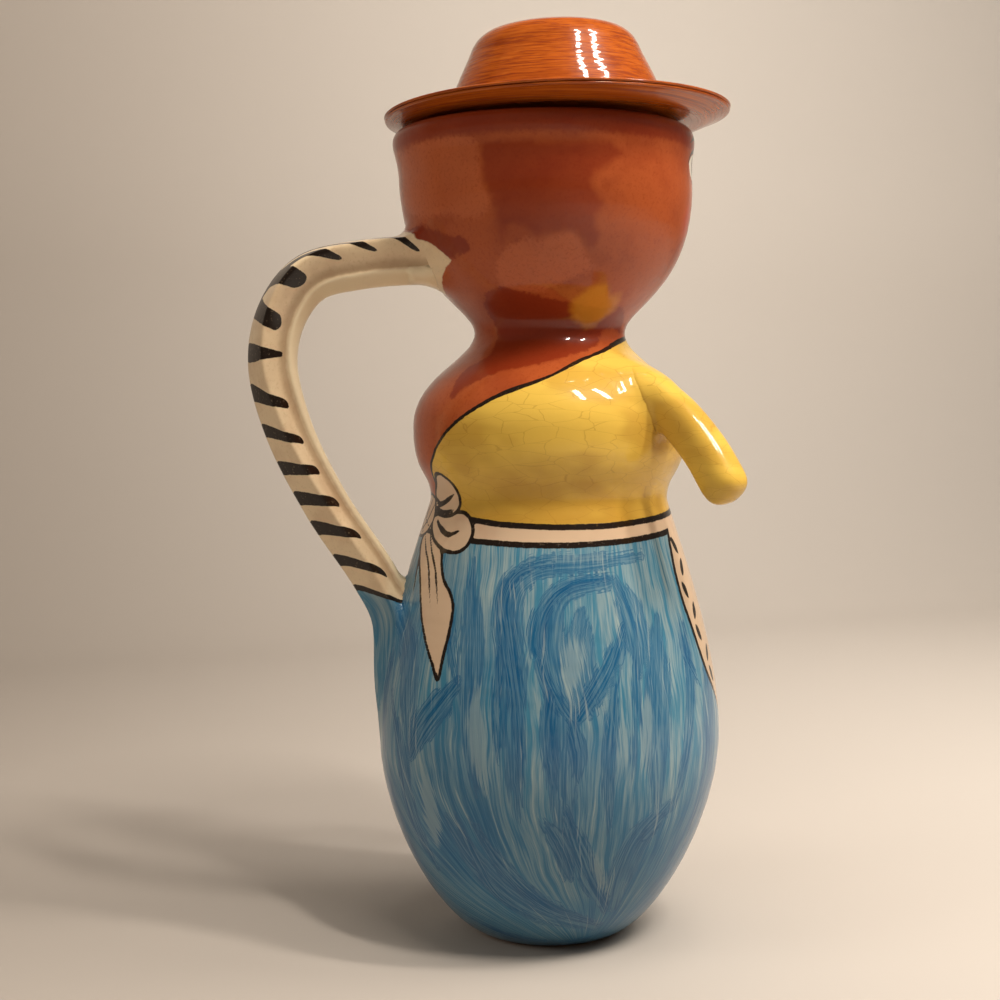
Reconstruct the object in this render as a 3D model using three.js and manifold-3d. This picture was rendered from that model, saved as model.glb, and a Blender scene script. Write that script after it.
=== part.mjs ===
// Pottery pitcher in the form of a figure, with its hat as a loose lid.
// Millimetres, +Z up. The figure faces +X and its handle is at the back, towards -X.
// The origin is the middle of the foot's flat underside.

import * as THREE from 'three';
import { mergeVertices } from 'three/addons/utils/BufferGeometryUtils.js';
import Module from 'manifold-3d';

// Vessel outline: the radius and the height of each place where it turns
const FOOT_RADIUS = 28;
const BELLY_RADIUS = 66.2;
const BELLY_HEIGHT = 78;
const WAIST_RADIUS = 46.2;
const WAIST_HEIGHT = 169;
const CHEST_RADIUS = 53;
const CHEST_HEIGHT = 196.5;
const NECK_RADIUS = 29;
const NECK_HEIGHT = 232.8;
const HEAD_RADIUS = 56.3;
const HEAD_HEIGHT = 291;
const LIP_RADIUS = 58;
const LIP_HEIGHT = 305;
const RIM_HEIGHT = 309.5;
const RIM_ROUNDING = 3.4;

// Fired clay thickness
const WALL = 6;
const FLOOR = 8;

// The head leans back as it rises from the neck, and its rim climbs towards the face
const HEAD_LEAN = 2.9;
const RIM_CLIMB = THREE.MathUtils.degToRad(0.6);

// Handle: a pulled strap with a flat outer face, from the back of the head to the hip
const HANDLE_WIDTH = 15;
const HANDLE_THICKNESS = 18.4;
const HANDLE_FOOT_THICKNESS = 14.4;
const HANDLE_REACH = 105.7;
const HANDLE_REACH_HEIGHT = 221;
const HANDLE_TOP_HEIGHT = 259.5;
const HANDLE_TOP_SIDE = -6;
const HANDLE_HIP_HEIGHT = 124;
const HANDLE_TAIL_HEIGHT = 66;
const HANDLE_TWIST_TOP = THREE.MathUtils.degToRad(7);
const HANDLE_TWIST_FOOT = THREE.MathUtils.degToRad(39);

// Arms: short solid stumps that hang from the shoulders, one on each side of the figure's front
const ARM_WIDTH = 15;
const ARM_DEPTH = 16.3;
const ARM_TURN = THREE.MathUtils.degToRad(50);
const ARM_REACH = 82;
const ARM_TIP_HEIGHT = 172;
const ARM_SHOULDER_HEIGHT = 216;
const ARM_ROUNDING = 5.5;

// Hat: brim, crown, and the flange under it that keeps it in the mouth
const BRIM_RADIUS = 66.6;
const BRIM_SEAT_RADIUS = 54;
const BRIM_RISE = 4.7;
const BRIM_EDGE = 2.2;
const BRIM_THICKNESS = 5;
const CROWN_BASE_RADIUS = 41.4;
const CROWN_SHOULDER_RADIUS = 32.6;
const CROWN_SHOULDER_HEIGHT = 29.3;
const CROWN_HEIGHT = 38;
const HAT_WALL = 4.5;
const FLANGE_DEPTH = 7;
const FLANGE_WALL = 4;
const HAT_SHIFT = 5.9;
const HAT_TILT = THREE.MathUtils.degToRad(1.7);
const HAT_ROLL = THREE.MathUtils.degToRad(0.8);

// Room between the hat and the pitcher
const FLANGE_CLEARANCE = 0.6;
const SEAT_CLEARANCE = 0.3;

// How finely round forms are divided
const ROUND_SIDES = 48;
const HANDLE_STEPS = 28;
const ARM_STEPS = 7;

const wasm = await Module();
wasm.setup();

// A closed three.js geometry as a solid that can be joined and cut
function toSolid(geometry) {
  const bare = geometry.index ? geometry.toNonIndexed() : geometry.clone();
  bare.deleteAttribute('normal');
  bare.deleteAttribute('uv');
  const merged = mergeVertices(bare, 1e-3);
  const corners = merged.index.array;
  const kept = [];
  for (let i = 0; i < corners.length; i += 3) {
    const [a, b, c] = corners.slice(i, i + 3);
    const distinct = a !== b && b !== c && c !== a;
    if (distinct) kept.push(a, b, c);
  }
  return new wasm.Manifold(new wasm.Mesh({
    numProp: 3,
    vertProperties: new Float32Array(merged.attributes.position.array),
    triVerts: new Uint32Array(kept),
  }));
}

// The solid's surface as a three.js geometry
function toGeometry(solid) {
  const mesh = solid.getMesh();
  const geometry = new THREE.BufferGeometry();
  geometry.setAttribute('position', new THREE.BufferAttribute(mesh.vertProperties, 3));
  geometry.setIndex(new THREE.BufferAttribute(mesh.triVerts, 1));
  geometry.computeVertexNormals();
  return geometry;
}

// An outline of radius and height, turned about the upright axis
function turned(outline) {
  return new THREE.LatheGeometry(outline, ROUND_SIDES).rotateX(Math.PI / 2);
}

// One bend of an outline between two turning places. It leaves the first and reaches the second
// upright, and the two shares say over how much of the height it stays so.
function bend(from, to, leaving, reaching, steps) {
  const rise = to.y - from.y;
  const curve = new THREE.CubicBezierCurve(
    from,
    new THREE.Vector2(from.x, from.y + leaving * rise),
    new THREE.Vector2(to.x, to.y - reaching * rise),
    to,
  );
  return curve.getPoints(steps).slice(1);
}

// The outline moved inwards by a wall. It runs upwards, so its inner side is on its left.
function inset(outline, wall) {
  return outline.map((point, i) => {
    const before = outline[Math.max(i - 1, 0)];
    const after = outline[Math.min(i + 1, outline.length - 1)];
    const along = after.clone().sub(before).normalize();
    return new THREE.Vector2(point.x - along.y * wall, point.y + along.x * wall);
  });
}

// The outer outline, from the foot's edge up to the lip
function vesselOutline() {
  const foot = new THREE.Vector2(FOOT_RADIUS, 0);
  const belly = new THREE.Vector2(BELLY_RADIUS, BELLY_HEIGHT);
  const waist = new THREE.Vector2(WAIST_RADIUS, WAIST_HEIGHT);
  const chest = new THREE.Vector2(CHEST_RADIUS, CHEST_HEIGHT);
  const neck = new THREE.Vector2(NECK_RADIUS, NECK_HEIGHT);
  const head = new THREE.Vector2(HEAD_RADIUS, HEAD_HEIGHT);
  const lip = new THREE.Vector2(LIP_RADIUS, LIP_HEIGHT);
  const bottom = new THREE.CubicBezierCurve(
    foot,
    new THREE.Vector2(foot.x + (belly.x - foot.x) * 0.49, belly.y * 0.1),
    new THREE.Vector2(belly.x, belly.y * 0.62),
    belly,
  );
  return [
    ...bottom.getPoints(7),
    ...bend(belly, waist, 0.42, 0.03, 6),
    ...bend(waist, chest, 0.39, 0.7, 4),
    ...bend(chest, neck, 0.55, 0.28, 5),
    ...bend(neck, head, 0.17, 0.71, 6),
    ...bend(head, lip, 0.6, 0.25, 2),
  ];
}

// The head's lean: a slide back and a slight slope, which grow as the square of the height from
// the neck to the rim
function lean(geometry) {
  const place = geometry.attributes.position;
  for (let i = 0; i < place.count; i += 1) {
    const rise = (place.getZ(i) - NECK_HEIGHT) / (RIM_HEIGHT - NECK_HEIGHT);
    const share = THREE.MathUtils.clamp(rise, 0, 1) ** 2;
    place.setZ(i, place.getZ(i) + share * place.getX(i) * Math.tan(RIM_CLIMB));
    place.setX(i, place.getX(i) - share * HEAD_LEAN);
  }
  return geometry;
}

function vesselOuter() {
  const rim = new THREE.EllipseCurve(
    LIP_RADIUS - RIM_ROUNDING, LIP_HEIGHT, RIM_ROUNDING, RIM_HEIGHT - LIP_HEIGHT, 0, Math.PI / 2,
  );
  const outline = [
    new THREE.Vector2(0, 0),
    ...vesselOutline(),
    ...rim.getPoints(3).slice(1),
    new THREE.Vector2(0, RIM_HEIGHT),
  ];
  return lean(turned(outline));
}

// The hollow inside, from the floor up through the mouth
function vesselInner() {
  const wallSide = inset(vesselOutline(), WALL).filter((point) => point.y > FLOOR + 1);
  const above = RIM_HEIGHT + WALL;
  const outline = [
    new THREE.Vector2(0, FLOOR),
    new THREE.Vector2(wallSide[0].x - WALL / 2, FLOOR),
    ...wallSide.slice(0, -1),
    new THREE.Vector2(LIP_RADIUS - WALL, LIP_HEIGHT),
    new THREE.Vector2(LIP_RADIUS - WALL, above),
    new THREE.Vector2(0, above),
  ];
  return lean(turned(outline));
}

// A straight bar bent along a path. The section's x lies along side and its y points away from
// the path's hollow. twist(t) turns the section about the path and size(t) thins its y.
function bentBar(section, path, side, options, twist, size) {
  const length = path.getLength();
  const bar = new THREE.ExtrudeGeometry(section, { ...options, depth: length });
  const place = bar.attributes.position;
  for (let i = 0; i < place.count; i += 1) {
    const along = place.getZ(i);
    const t = THREE.MathUtils.clamp(along / length, 0, 1);
    const tangent = path.getTangentAt(t);
    const across = side.clone().addScaledVector(tangent, -side.dot(tangent)).normalize();
    const outward = new THREE.Vector3().crossVectors(tangent, across);
    const offset = new THREE.Vector2(place.getX(i), place.getY(i) * size(t));
    offset.rotateAround(new THREE.Vector2(), twist(t));
    const point = path.getPointAt(t)
      .addScaledVector(tangent, along - t * length)
      .addScaledVector(across, offset.x)
      .addScaledVector(outward, offset.y);
    place.setXYZ(i, point.x, point.y, point.z);
  }
  return bar;
}

// The strap's section: a flat outer face, a groove along each side and a rounded inner bead
function handleSection() {
  const half = HANDLE_WIDTH / 2;
  const deep = HANDLE_THICKNESS / 2;
  const section = new THREE.Shape();
  section.moveTo(-half * 0.9, deep * 0.97);
  section.lineTo(half * 0.9, deep * 0.97);
  section.lineTo(half, deep * 0.75);
  section.lineTo(half * 0.9, deep * 0.1);
  section.lineTo(half, -deep * 0.45);
  section.lineTo(half * 0.6, -deep * 0.9);
  section.lineTo(0, -deep);
  section.lineTo(-half * 0.6, -deep * 0.9);
  section.lineTo(-half, -deep * 0.45);
  section.lineTo(-half * 0.9, deep * 0.1);
  section.lineTo(-half, deep * 0.75);
  return section;
}

// The handle's middle line: out of the head, round the bend, down to the hip and along it
function handlePath() {
  const reach = HANDLE_REACH;
  const drop = HANDLE_REACH_HEIGHT - HANDLE_HIP_HEIGHT;
  const hip = BELLY_RADIUS - 6;
  return new THREE.CatmullRomCurve3([
    new THREE.Vector3(-HEAD_RADIUS * 0.68, HANDLE_TOP_SIDE, HANDLE_TOP_HEIGHT + 1),
    new THREE.Vector3(-reach * 0.69, HANDLE_TOP_SIDE * 0.7, HANDLE_TOP_HEIGHT - 1.7),
    new THREE.Vector3(-reach * 0.872, HANDLE_TOP_SIDE * 0.4, HANDLE_TOP_HEIGHT - 7),
    new THREE.Vector3(-reach * 0.966, HANDLE_TOP_SIDE * 0.1, HANDLE_TOP_HEIGHT - 20),
    new THREE.Vector3(-reach, 0, HANDLE_REACH_HEIGHT),
    new THREE.Vector3(-reach * 0.948, 0, HANDLE_REACH_HEIGHT - drop * 0.25),
    new THREE.Vector3(-reach * 0.814, 0, HANDLE_REACH_HEIGHT - drop * 0.55),
    new THREE.Vector3(-hip - 7.4, 0, HANDLE_REACH_HEIGHT - drop * 0.84),
    new THREE.Vector3(-hip, 0, HANDLE_HIP_HEIGHT),
    new THREE.Vector3(-hip + 1.8, 0, (HANDLE_HIP_HEIGHT + HANDLE_TAIL_HEIGHT) / 2),
    new THREE.Vector3(-hip + 9.5, 0, HANDLE_TAIL_HEIGHT),
  ]);
}

// The strap's flat face turns more and more towards -Y on its way down, and the strap gets thinner
function handle() {
  const { lerp, smoothstep } = THREE.MathUtils;
  const footShare = HANDLE_FOOT_THICKNESS / HANDLE_THICKNESS;
  const twist = (t) => -lerp(HANDLE_TWIST_TOP, HANDLE_TWIST_FOOT, smoothstep(t, 0.1, 0.65));
  const size = (t) => lerp(1, footShare, smoothstep(t, 0.2, 0.6));
  const options = { steps: HANDLE_STEPS, bevelEnabled: false };
  return bentBar(handleSection(), handlePath(), new THREE.Vector3(0, -1, 0), options, twist, size);
}

// The arm's section: six flat faces pressed along it, with rounded corners between them
function armSection() {
  const half = ARM_WIDTH / 2 - ARM_ROUNDING;
  const deep = ARM_DEPTH / 2 - ARM_ROUNDING;
  const section = new THREE.Shape();
  section.moveTo(-half, -deep * 0.6);
  section.lineTo(0, -deep);
  section.lineTo(half, -deep * 0.6);
  section.lineTo(half, deep * 0.6);
  section.lineTo(0, deep);
  section.lineTo(-half, deep * 0.6);
  return section;
}

// One arm, on the side of the figure that the sign gives. Its path falls outwards in a bow.
function arm(sign) {
  const out = new THREE.Vector3(Math.cos(ARM_TURN), sign * Math.sin(ARM_TURN), 0);
  const fall = ARM_SHOULDER_HEIGHT - ARM_TIP_HEIGHT;
  const at = (radius, height) => out.clone().multiplyScalar(radius).setZ(height);
  const path = new THREE.CatmullRomCurve3([
    at(ARM_REACH * 0.46, ARM_SHOULDER_HEIGHT),
    at(ARM_REACH * 0.7, ARM_SHOULDER_HEIGHT - fall * 0.31),
    at(ARM_REACH * 0.86, ARM_SHOULDER_HEIGHT - fall * 0.62),
    at(ARM_REACH * 0.97, ARM_SHOULDER_HEIGHT - fall * 0.9),
  ]);
  const side = new THREE.Vector3(-out.y, out.x, 0);
  const options = {
    steps: ARM_STEPS,
    bevelEnabled: true,
    bevelThickness: ARM_ROUNDING,
    bevelSize: ARM_ROUNDING,
    bevelSegments: 3,
  };
  return bentBar(armSection(), path, side, options, () => 0, () => 1);
}

// Vessel, handle and arms as the one piece of clay that they are, and the hollow taken out of it
function pitcherBody() {
  const outside = toSolid(vesselOuter()).add(toSolid(handle())).add(toSolid(arm(-1))).add(toSolid(arm(1)));
  const hollow = toSolid(vesselInner());
  const glaze = new THREE.MeshStandardMaterial({ color: 0x3f8fb8, roughness: 0.15, metalness: 0 });
  const mesh = new THREE.Mesh(toGeometry(outside.subtract(hollow)), glaze);
  mesh.name = 'pitcher_body';
  return mesh;
}

// The crown's outer outline, from the brim up to its middle
function crownOutline() {
  const shoulder = new THREE.QuadraticBezierCurve(
    new THREE.Vector2(CROWN_SHOULDER_RADIUS, CROWN_SHOULDER_HEIGHT),
    new THREE.Vector2(CROWN_SHOULDER_RADIUS - 3.1, CROWN_HEIGHT - 1.4),
    new THREE.Vector2(CROWN_SHOULDER_RADIUS * 0.6, CROWN_HEIGHT - 0.6),
  );
  return [
    new THREE.Vector2(CROWN_BASE_RADIUS, BRIM_THICKNESS + 3),
    ...shoulder.getPoints(3),
    new THREE.Vector2(0, CROWN_HEIGHT),
  ];
}

// The hat stands in its own frame, with the seat that rests on the rim at height zero
function hatOutline() {
  const mouth = Math.min(HEAD_RADIUS, LIP_RADIUS) - WALL;
  const flange = mouth - HAT_SHIFT - FLANGE_CLEARANCE;
  const crown = crownOutline();
  const hollow = inset(crown, HAT_WALL).slice(0, -1).reverse();
  const brimUnder = new THREE.QuadraticBezierCurve(
    new THREE.Vector2(BRIM_SEAT_RADIUS, 0),
    new THREE.Vector2(BRIM_RADIUS - 6, 0.8),
    new THREE.Vector2(BRIM_RADIUS - 0.8, BRIM_RISE - BRIM_EDGE / 2),
  );
  return [
    new THREE.Vector2(0, CROWN_HEIGHT - HAT_WALL),
    ...hollow,
    new THREE.Vector2(flange - FLANGE_WALL, BRIM_THICKNESS),
    new THREE.Vector2(flange - FLANGE_WALL, -FLANGE_DEPTH),
    new THREE.Vector2(flange, -FLANGE_DEPTH),
    new THREE.Vector2(flange, 0),
    ...brimUnder.getPoints(3),
    new THREE.Vector2(BRIM_RADIUS, BRIM_RISE),
    new THREE.Vector2(BRIM_RADIUS - 0.8, BRIM_RISE + BRIM_EDGE / 2),
    new THREE.Vector2(BRIM_SEAT_RADIUS + 5, BRIM_THICKNESS + 0.2),
    new THREE.Vector2(CROWN_BASE_RADIUS + 3.6, BRIM_THICKNESS + 0.2),
    ...crown,
  ];
}

// How high the hat's seat stands so that it just clears the rim all round: tilted, it comes
// closest at one side of the rim, and the seat clearance is left there.
function seatHeight(middle, turn) {
  const facing = new THREE.Vector3(0, 0, 1).applyEuler(turn);
  let height = 0;
  for (let i = 0; i < ROUND_SIDES; i += 1) {
    const angle = (2 * Math.PI * i) / ROUND_SIDES;
    const x = LIP_RADIUS * Math.cos(angle);
    const y = LIP_RADIUS * Math.sin(angle);
    const rim = RIM_HEIGHT + x * Math.tan(RIM_CLIMB);
    const slope = (facing.x * (x - HEAD_LEAN - middle) + facing.y * y) / facing.z;
    height = Math.max(height, rim + SEAT_CLEARANCE + slope);
  }
  return height;
}

// The hat in its place: pushed forward on the rim, and tilted up at the front and at one side
function hatLid() {
  const glaze = new THREE.MeshStandardMaterial({ color: 0xb0461c, roughness: 0.12, metalness: 0 });
  const mesh = new THREE.Mesh(toGeometry(toSolid(turned(hatOutline()))), glaze);
  const middle = HAT_SHIFT - HEAD_LEAN;
  mesh.rotation.set(-HAT_ROLL, -HAT_TILT, 0);
  mesh.position.set(middle, 0, seatHeight(middle, mesh.rotation));
  mesh.name = 'hat_lid';
  return mesh;
}

const pitcher = new THREE.Group();
pitcher.add(pitcherBody(), hatLid());

export default pitcher;
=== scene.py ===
"""Looks of a glazed pottery pitcher in the form of a figure, with its hat as a loose lid.

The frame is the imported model's: metres, +Z up, the figure faces +X and its handle is at -X.
Shapes and painted outlines are worked out in millimetres and put into the meshes in metres.
"""

import math

import bpy
import numpy as np
from bpy.props import FloatProperty, FloatVectorProperty, PointerProperty
from mathutils import Matrix, Vector


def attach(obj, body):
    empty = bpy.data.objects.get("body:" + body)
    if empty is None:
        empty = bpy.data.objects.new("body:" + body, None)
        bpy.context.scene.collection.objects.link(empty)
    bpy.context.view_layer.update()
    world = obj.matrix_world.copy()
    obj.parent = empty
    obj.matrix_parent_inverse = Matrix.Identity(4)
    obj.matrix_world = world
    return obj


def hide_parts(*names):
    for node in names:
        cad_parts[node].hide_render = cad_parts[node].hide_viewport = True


bl_info = {
    "name": "Figure Pitcher",
    "version": (1, 0, 0),
    "blender": (4, 5, 0),
    "location": "3D View > Sidebar > Pitcher",
    "description": "Builds a hand-painted pottery pitcher with a hat for a lid",
    "category": "Add Mesh",
}

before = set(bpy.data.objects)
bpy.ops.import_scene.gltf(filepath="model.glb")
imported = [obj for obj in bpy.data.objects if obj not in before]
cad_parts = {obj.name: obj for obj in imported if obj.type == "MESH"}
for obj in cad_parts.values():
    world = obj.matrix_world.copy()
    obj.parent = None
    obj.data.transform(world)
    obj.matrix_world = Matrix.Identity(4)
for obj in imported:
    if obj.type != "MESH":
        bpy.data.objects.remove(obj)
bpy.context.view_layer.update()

MM = 0.001


# Sizes and colours that a user would change

def length(name, default, description):
    return FloatProperty(name=name, description=description, default=default * MM, unit="LENGTH", precision=4)


def angle(name, default, description):
    return FloatProperty(name=name, description=description, default=math.radians(default), unit="ROTATION")


def colour(name, default, description):
    return FloatVectorProperty(
        name=name, description=description, default=default, subtype="COLOR", size=3, min=0, max=1)


class PitcherVesselSizes(bpy.types.PropertyGroup):
    """Radius and height of each place where the vessel's outline turns"""
    foot_radius: length("Foot radius", 28, "Radius of the flat underside")
    belly_radius: length("Belly radius", 66.2, "Widest radius of the skirt")
    belly_height: length("Belly height", 78, "Height of the skirt's widest place")
    waist_radius: length("Waist radius", 46.2, "Radius at the waist")
    waist_height: length("Waist height", 169, "Height of the waist")
    chest_radius: length("Chest radius", 53, "Widest radius of the chest")
    chest_height: length("Chest height", 196.5, "Height of the chest's widest place")
    neck_radius: length("Neck radius", 29, "Radius at the neck")
    neck_height: length("Neck height", 232.8, "Height of the neck")
    head_radius: length("Head radius", 56.3, "Radius of the head under the lip")
    head_height: length("Head height", 291, "Height where the head stands upright")
    lip_radius: length("Lip radius", 58, "Radius of the lip")
    lip_height: length("Lip height", 305, "Height of the lip's widest place")
    rim_height: length("Rim height", 309.5, "Height of the mouth's rim")
    rim_rounding: length("Rim rounding", 3.4, "How far the rim rounds inwards")
    wall: length("Wall", 6, "Thickness of the fired clay")
    floor: length("Floor", 8, "Thickness of the vessel's floor")
    head_lean: length("Head lean", 2.9, "How far the mouth lies behind the foot's middle")
    rim_climb: angle("Rim climb", 0.6, "How steeply the rim climbs towards the face")


class PitcherHandleSizes(bpy.types.PropertyGroup):
    """Sizes of the pulled strap at the back"""
    width: length("Width", 15, "Width of the flat outer face")
    thickness: length("Thickness", 18.4, "Depth of the strap at the head")
    foot_thickness: length("Foot thickness", 14.4, "Depth of the strap at the hip")
    reach: length("Reach", 105.7, "Distance of the bend's middle line from the upright axis")
    reach_height: length("Reach height", 221, "Height of the bend's farthest place")
    top_height: length("Top height", 259.5, "Height where the strap leaves the head")
    top_side: length("Top side", -6, "Sideways place where the strap leaves the head")
    hip_height: length("Hip height", 124, "Height where the strap reaches the skirt")
    tail_height: length("Tail height", 66, "Height where the strap's tail ends in the skirt")
    twist_top: angle("Twist at the top", 7, "Turn of the flat face at the head")
    twist_foot: angle("Twist at the foot", 39, "Turn of the flat face at the hip")


class PitcherArmSizes(bpy.types.PropertyGroup):
    """Sizes of the two arm stumps"""
    width: length("Width", 15, "Width of an arm, across")
    depth: length("Depth", 16.3, "Depth of an arm, up and down")
    turn: angle("Turn", 50, "Azimuth of each arm from the figure's front")
    reach: length("Reach", 82, "Distance of the arm's tip from the upright axis")
    tip_height: length("Tip height", 172, "Height of the middle of the tip")
    shoulder_height: length("Shoulder height", 216, "Height where the arm's middle line starts")


class PitcherHatSizes(bpy.types.PropertyGroup):
    """Sizes of the loose hat"""
    brim_radius: length("Brim radius", 66.6, "Outer radius of the brim")
    seat_radius: length("Seat radius", 54, "Radius of the part that rests on the rim")
    brim_rise: length("Brim rise", 4.7, "Height of the brim's edge over its seat")
    brim_edge: length("Brim edge", 2.2, "Thickness of the brim at its edge")
    brim_thickness: length("Brim thickness", 5, "Thickness of the brim")
    crown_base_radius: length("Crown base radius", 41.4, "Radius of the crown at the brim")
    shoulder_radius: length("Crown shoulder radius", 32.6, "Radius of the crown's shoulder")
    shoulder_height: length("Crown shoulder height", 29.3, "Height of the crown's shoulder")
    crown_height: length("Crown height", 38, "Height of the crown over the seat")
    wall: length("Hat wall", 4.5, "Thickness of the crown")
    flange_depth: length("Flange depth", 7, "Depth of the ring that stands in the mouth")
    flange_wall: length("Flange wall", 4, "Thickness of that ring")
    shift: length("Shift", 5.9, "How far forward the hat lies on the rim")
    tilt: angle("Tilt", 1.7, "How far the hat's front is tilted up")
    roll: angle("Roll", 0.8, "How far the hat is tilted to one side")
    flange_clearance: length("Flange clearance", 0.6, "Room between the ring and the mouth")
    seat_clearance: length("Seat clearance", 0.3, "Room between the brim and the rim")


class PitcherColours(bpy.types.PropertyGroup):
    """Colours of the clay and of the brushed paints under the glaze"""
    clay: colour("Bare clay", (0.42, 0.19, 0.09), "Unglazed clay under the foot")
    skin: colour("Skin", (0.39, 0.080, 0.020), "Terracotta of the head, the neck and the back")
    # also serves as the painted shade of the hat's brim near the rim
    skin_wash: colour("Skin wash", (0.19, 0.015, 0.004), "Darker wash brushed over the terracotta")
    amber: colour("Amber", (0.62, 0.24, 0.018), "Yellow glaze that was splashed on the head")
    blouse: colour("Blouse", (0.74, 0.47, 0.075), "Yellow of the blouse and the arms")
    # also serves as the painted shade low on the blouse
    blouse_wash: colour("Blouse wash", (0.42, 0.20, 0.022), "Ochre where the yellow is thick")
    linen: colour("Linen", (0.62, 0.44, 0.29), "Cream of the apron, the band and the bow")
    strap: colour("Strap", (0.78, 0.60, 0.38), "Cream of the handle")
    blue: colour("Blue", (0.10, 0.44, 0.72), "What one brushed coat of blue lets through")
    skirt_ground: colour("Skirt ground", (0.36, 0.43, 0.41), "Pale ground under the blue strokes")
    ink: colour("Ink", (0.014, 0.008, 0.005), "Brown-black of the drawn lines")
    lips: colour("Lips", (0.45, 0.03, 0.02), "Red of the mouth")
    eye: colour("Eye", (0.74, 0.68, 0.58), "White of the eyes")
    hat: colour("Hat", (0.42, 0.088, 0.008), "Orange-brown of the hat")
    hat_wash: colour("Hat wash", (0.20, 0.028, 0.005), "Darker rings brushed round the hat")


class PitcherStage(bpy.types.PropertyGroup):
    """Camera, lights and backdrop"""
    lens: FloatProperty(name="Lens", description="Focal length of the camera", default=57.13, unit="CAMERA")
    camera_place: FloatVectorProperty(
        name="Camera place", description="Where the camera stands", subtype="TRANSLATION", size=3,
        default=(-0.1289, -0.6065, 0.2027))
    camera_down: angle("Camera tilt", 3.21, "How far the camera looks down")
    camera_turn: angle("Camera turn", 1.77, "How far the camera is turned to the left of the axis")
    key_power: FloatProperty(
        name="Key light", description="Strength of each hard lamp", default=8.2, unit="POWER")
    fill_power: FloatProperty(
        name="Fill light", description="Strength of the soft ceiling light", default=16.0, unit="POWER")
    room: FloatProperty(name="Room light", description="Strength of the light from all round", default=0.13)
    backdrop: colour("Backdrop", (0.74, 0.68, 0.62), "Colour of the floor and the backdrop")


def in_mm(group):
    """The group's sizes as a plain namespace: lengths in millimetres, angles in radians."""
    values = {}
    for key, prop in group.bl_rna.properties.items():
        if prop.type == "FLOAT" and prop.unit == "LENGTH":
            values[key] = getattr(group, key) / MM
        elif prop.type == "FLOAT":
            values[key] = getattr(group, key)
    return type("Sizes", (), values)


# Curves

def smooth(x, low, high):
    """Smoothstep: 3s^2 - 2s^3, where s is the clamped share of the way from low to high."""
    s = np.clip((x - low) / (high - low), 0, 1)
    return s * s * (3 - 2 * s)


def cubic(a, b, c, d, steps=60):
    """Cubic Bezier curve: the four points weighted by the cubic Bernstein shares."""
    t = np.linspace(0, 1, steps)[:, None]
    a, b, c, d = (np.array(p, float) for p in (a, b, c, d))
    return (1 - t) ** 3 * a + 3 * (1 - t) ** 2 * t * b + 3 * (1 - t) * t ** 2 * c + t ** 3 * d


def bend(start, end, leaving, reaching):
    """Bezier curve of radius and height whose two ends are upright for the given shares of its rise."""
    rise = end[1] - start[1]
    return cubic(start, (start[0], start[1] + leaving * rise), (end[0], end[1] - reaching * rise), end)[1:]


def quarter(centre, across, up, start, end, steps=10):
    """Arc of an ellipse: centre plus across times the cosine and up times the sine of the angle."""
    t = np.radians(np.linspace(start, end, steps))
    return np.stack([centre[0] + across * np.cos(t), centre[1] + up * np.sin(t)], 1)


def arc_length(points):
    """Length along a polyline up to each of its points."""
    return np.r_[0, np.cumsum(np.linalg.norm(np.diff(points, axis=0), axis=1))]


def resample(points, spacing):
    """Points along a polyline at steps that follow spacing(point): equal steps of the running total
    of length divided by spacing."""
    steps = np.linalg.norm(np.diff(points, axis=0), axis=1) / spacing((points[1:] + points[:-1]) / 2)
    total = np.r_[0, np.cumsum(steps)]
    at = np.linspace(0, total[-1], max(int(round(total[-1])), 1) + 1)
    return np.stack([np.interp(at, total, points[:, i]) for i in range(points.shape[1])], 1)


def catmull(points, count):
    """Centripetal Catmull-Rom curve: between two points, a cubic Hermite curve whose slopes are the
    differences to the neighbours, weighted by the square roots of their distances."""
    p = np.asarray(points, float)
    ends = np.vstack([2 * p[0] - p[1], p, 2 * p[-1] - p[-2]])
    u = np.linspace(0, len(p) - 1, count)
    k = np.minimum(u.astype(int), len(p) - 2)
    a, b, c, d = (ends[k + i] for i in range(4))
    before, here, after = (
        np.sqrt(np.linalg.norm(q - r, axis=1))[:, None] for q, r in ((b, a), (c, b), (d, c)))
    leave = ((b - a) / before - (c - a) / (before + here) + (c - b) / here) * here
    reach = ((c - b) / here - (d - b) / (here + after) + (d - c) / after) * here
    w = (u - k)[:, None]
    square, cube = 3 * c - 3 * b - 2 * leave - reach, 2 * b - 2 * c + leave + reach
    return b + leave * w + square * w ** 2 + cube * w ** 3


def every(distance):
    """A spacing for resample that is the same all along."""
    return lambda p: np.full(len(p), distance)


def unit_rows(vectors):
    return vectors / np.linalg.norm(vectors, axis=-1, keepdims=True)


# The vessel's outline and its lean

def vessel_outline(v):
    """Outline of radius and height from the foot's edge to the lip, as upright-ended Bezier bends."""
    foot, belly = (v.foot_radius, 0), (v.belly_radius, v.belly_height)
    waist, chest = (v.waist_radius, v.waist_height), (v.chest_radius, v.chest_height)
    neck, head = (v.neck_radius, v.neck_height), (v.head_radius, v.head_height)
    lip = (v.lip_radius, v.lip_height)
    widening = foot[0] + (belly[0] - foot[0]) * 0.49
    return np.vstack([
        cubic(foot, (widening, belly[1] * 0.1), (belly[0], belly[1] * 0.62), belly),
        bend(belly, waist, 0.42, 0.03),
        bend(waist, chest, 0.39, 0.7),
        bend(chest, neck, 0.55, 0.28),
        bend(neck, head, 0.17, 0.71),
        bend(head, lip, 0.6, 0.25),
    ])


def lean_share(v, height):
    """Square of the share of the way from the neck to the rim."""
    return np.clip((height - v.neck_height) / (v.rim_height - v.neck_height), 0, 1) ** 2


def lean(v, points):
    """The head slides back and slopes by the lean share of its height."""
    share = lean_share(v, points[..., 2])
    leaned = points.copy()
    leaned[..., 2] += share * points[..., 0] * math.tan(v.rim_climb)
    leaned[..., 0] -= share * v.head_lean
    return leaned


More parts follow.
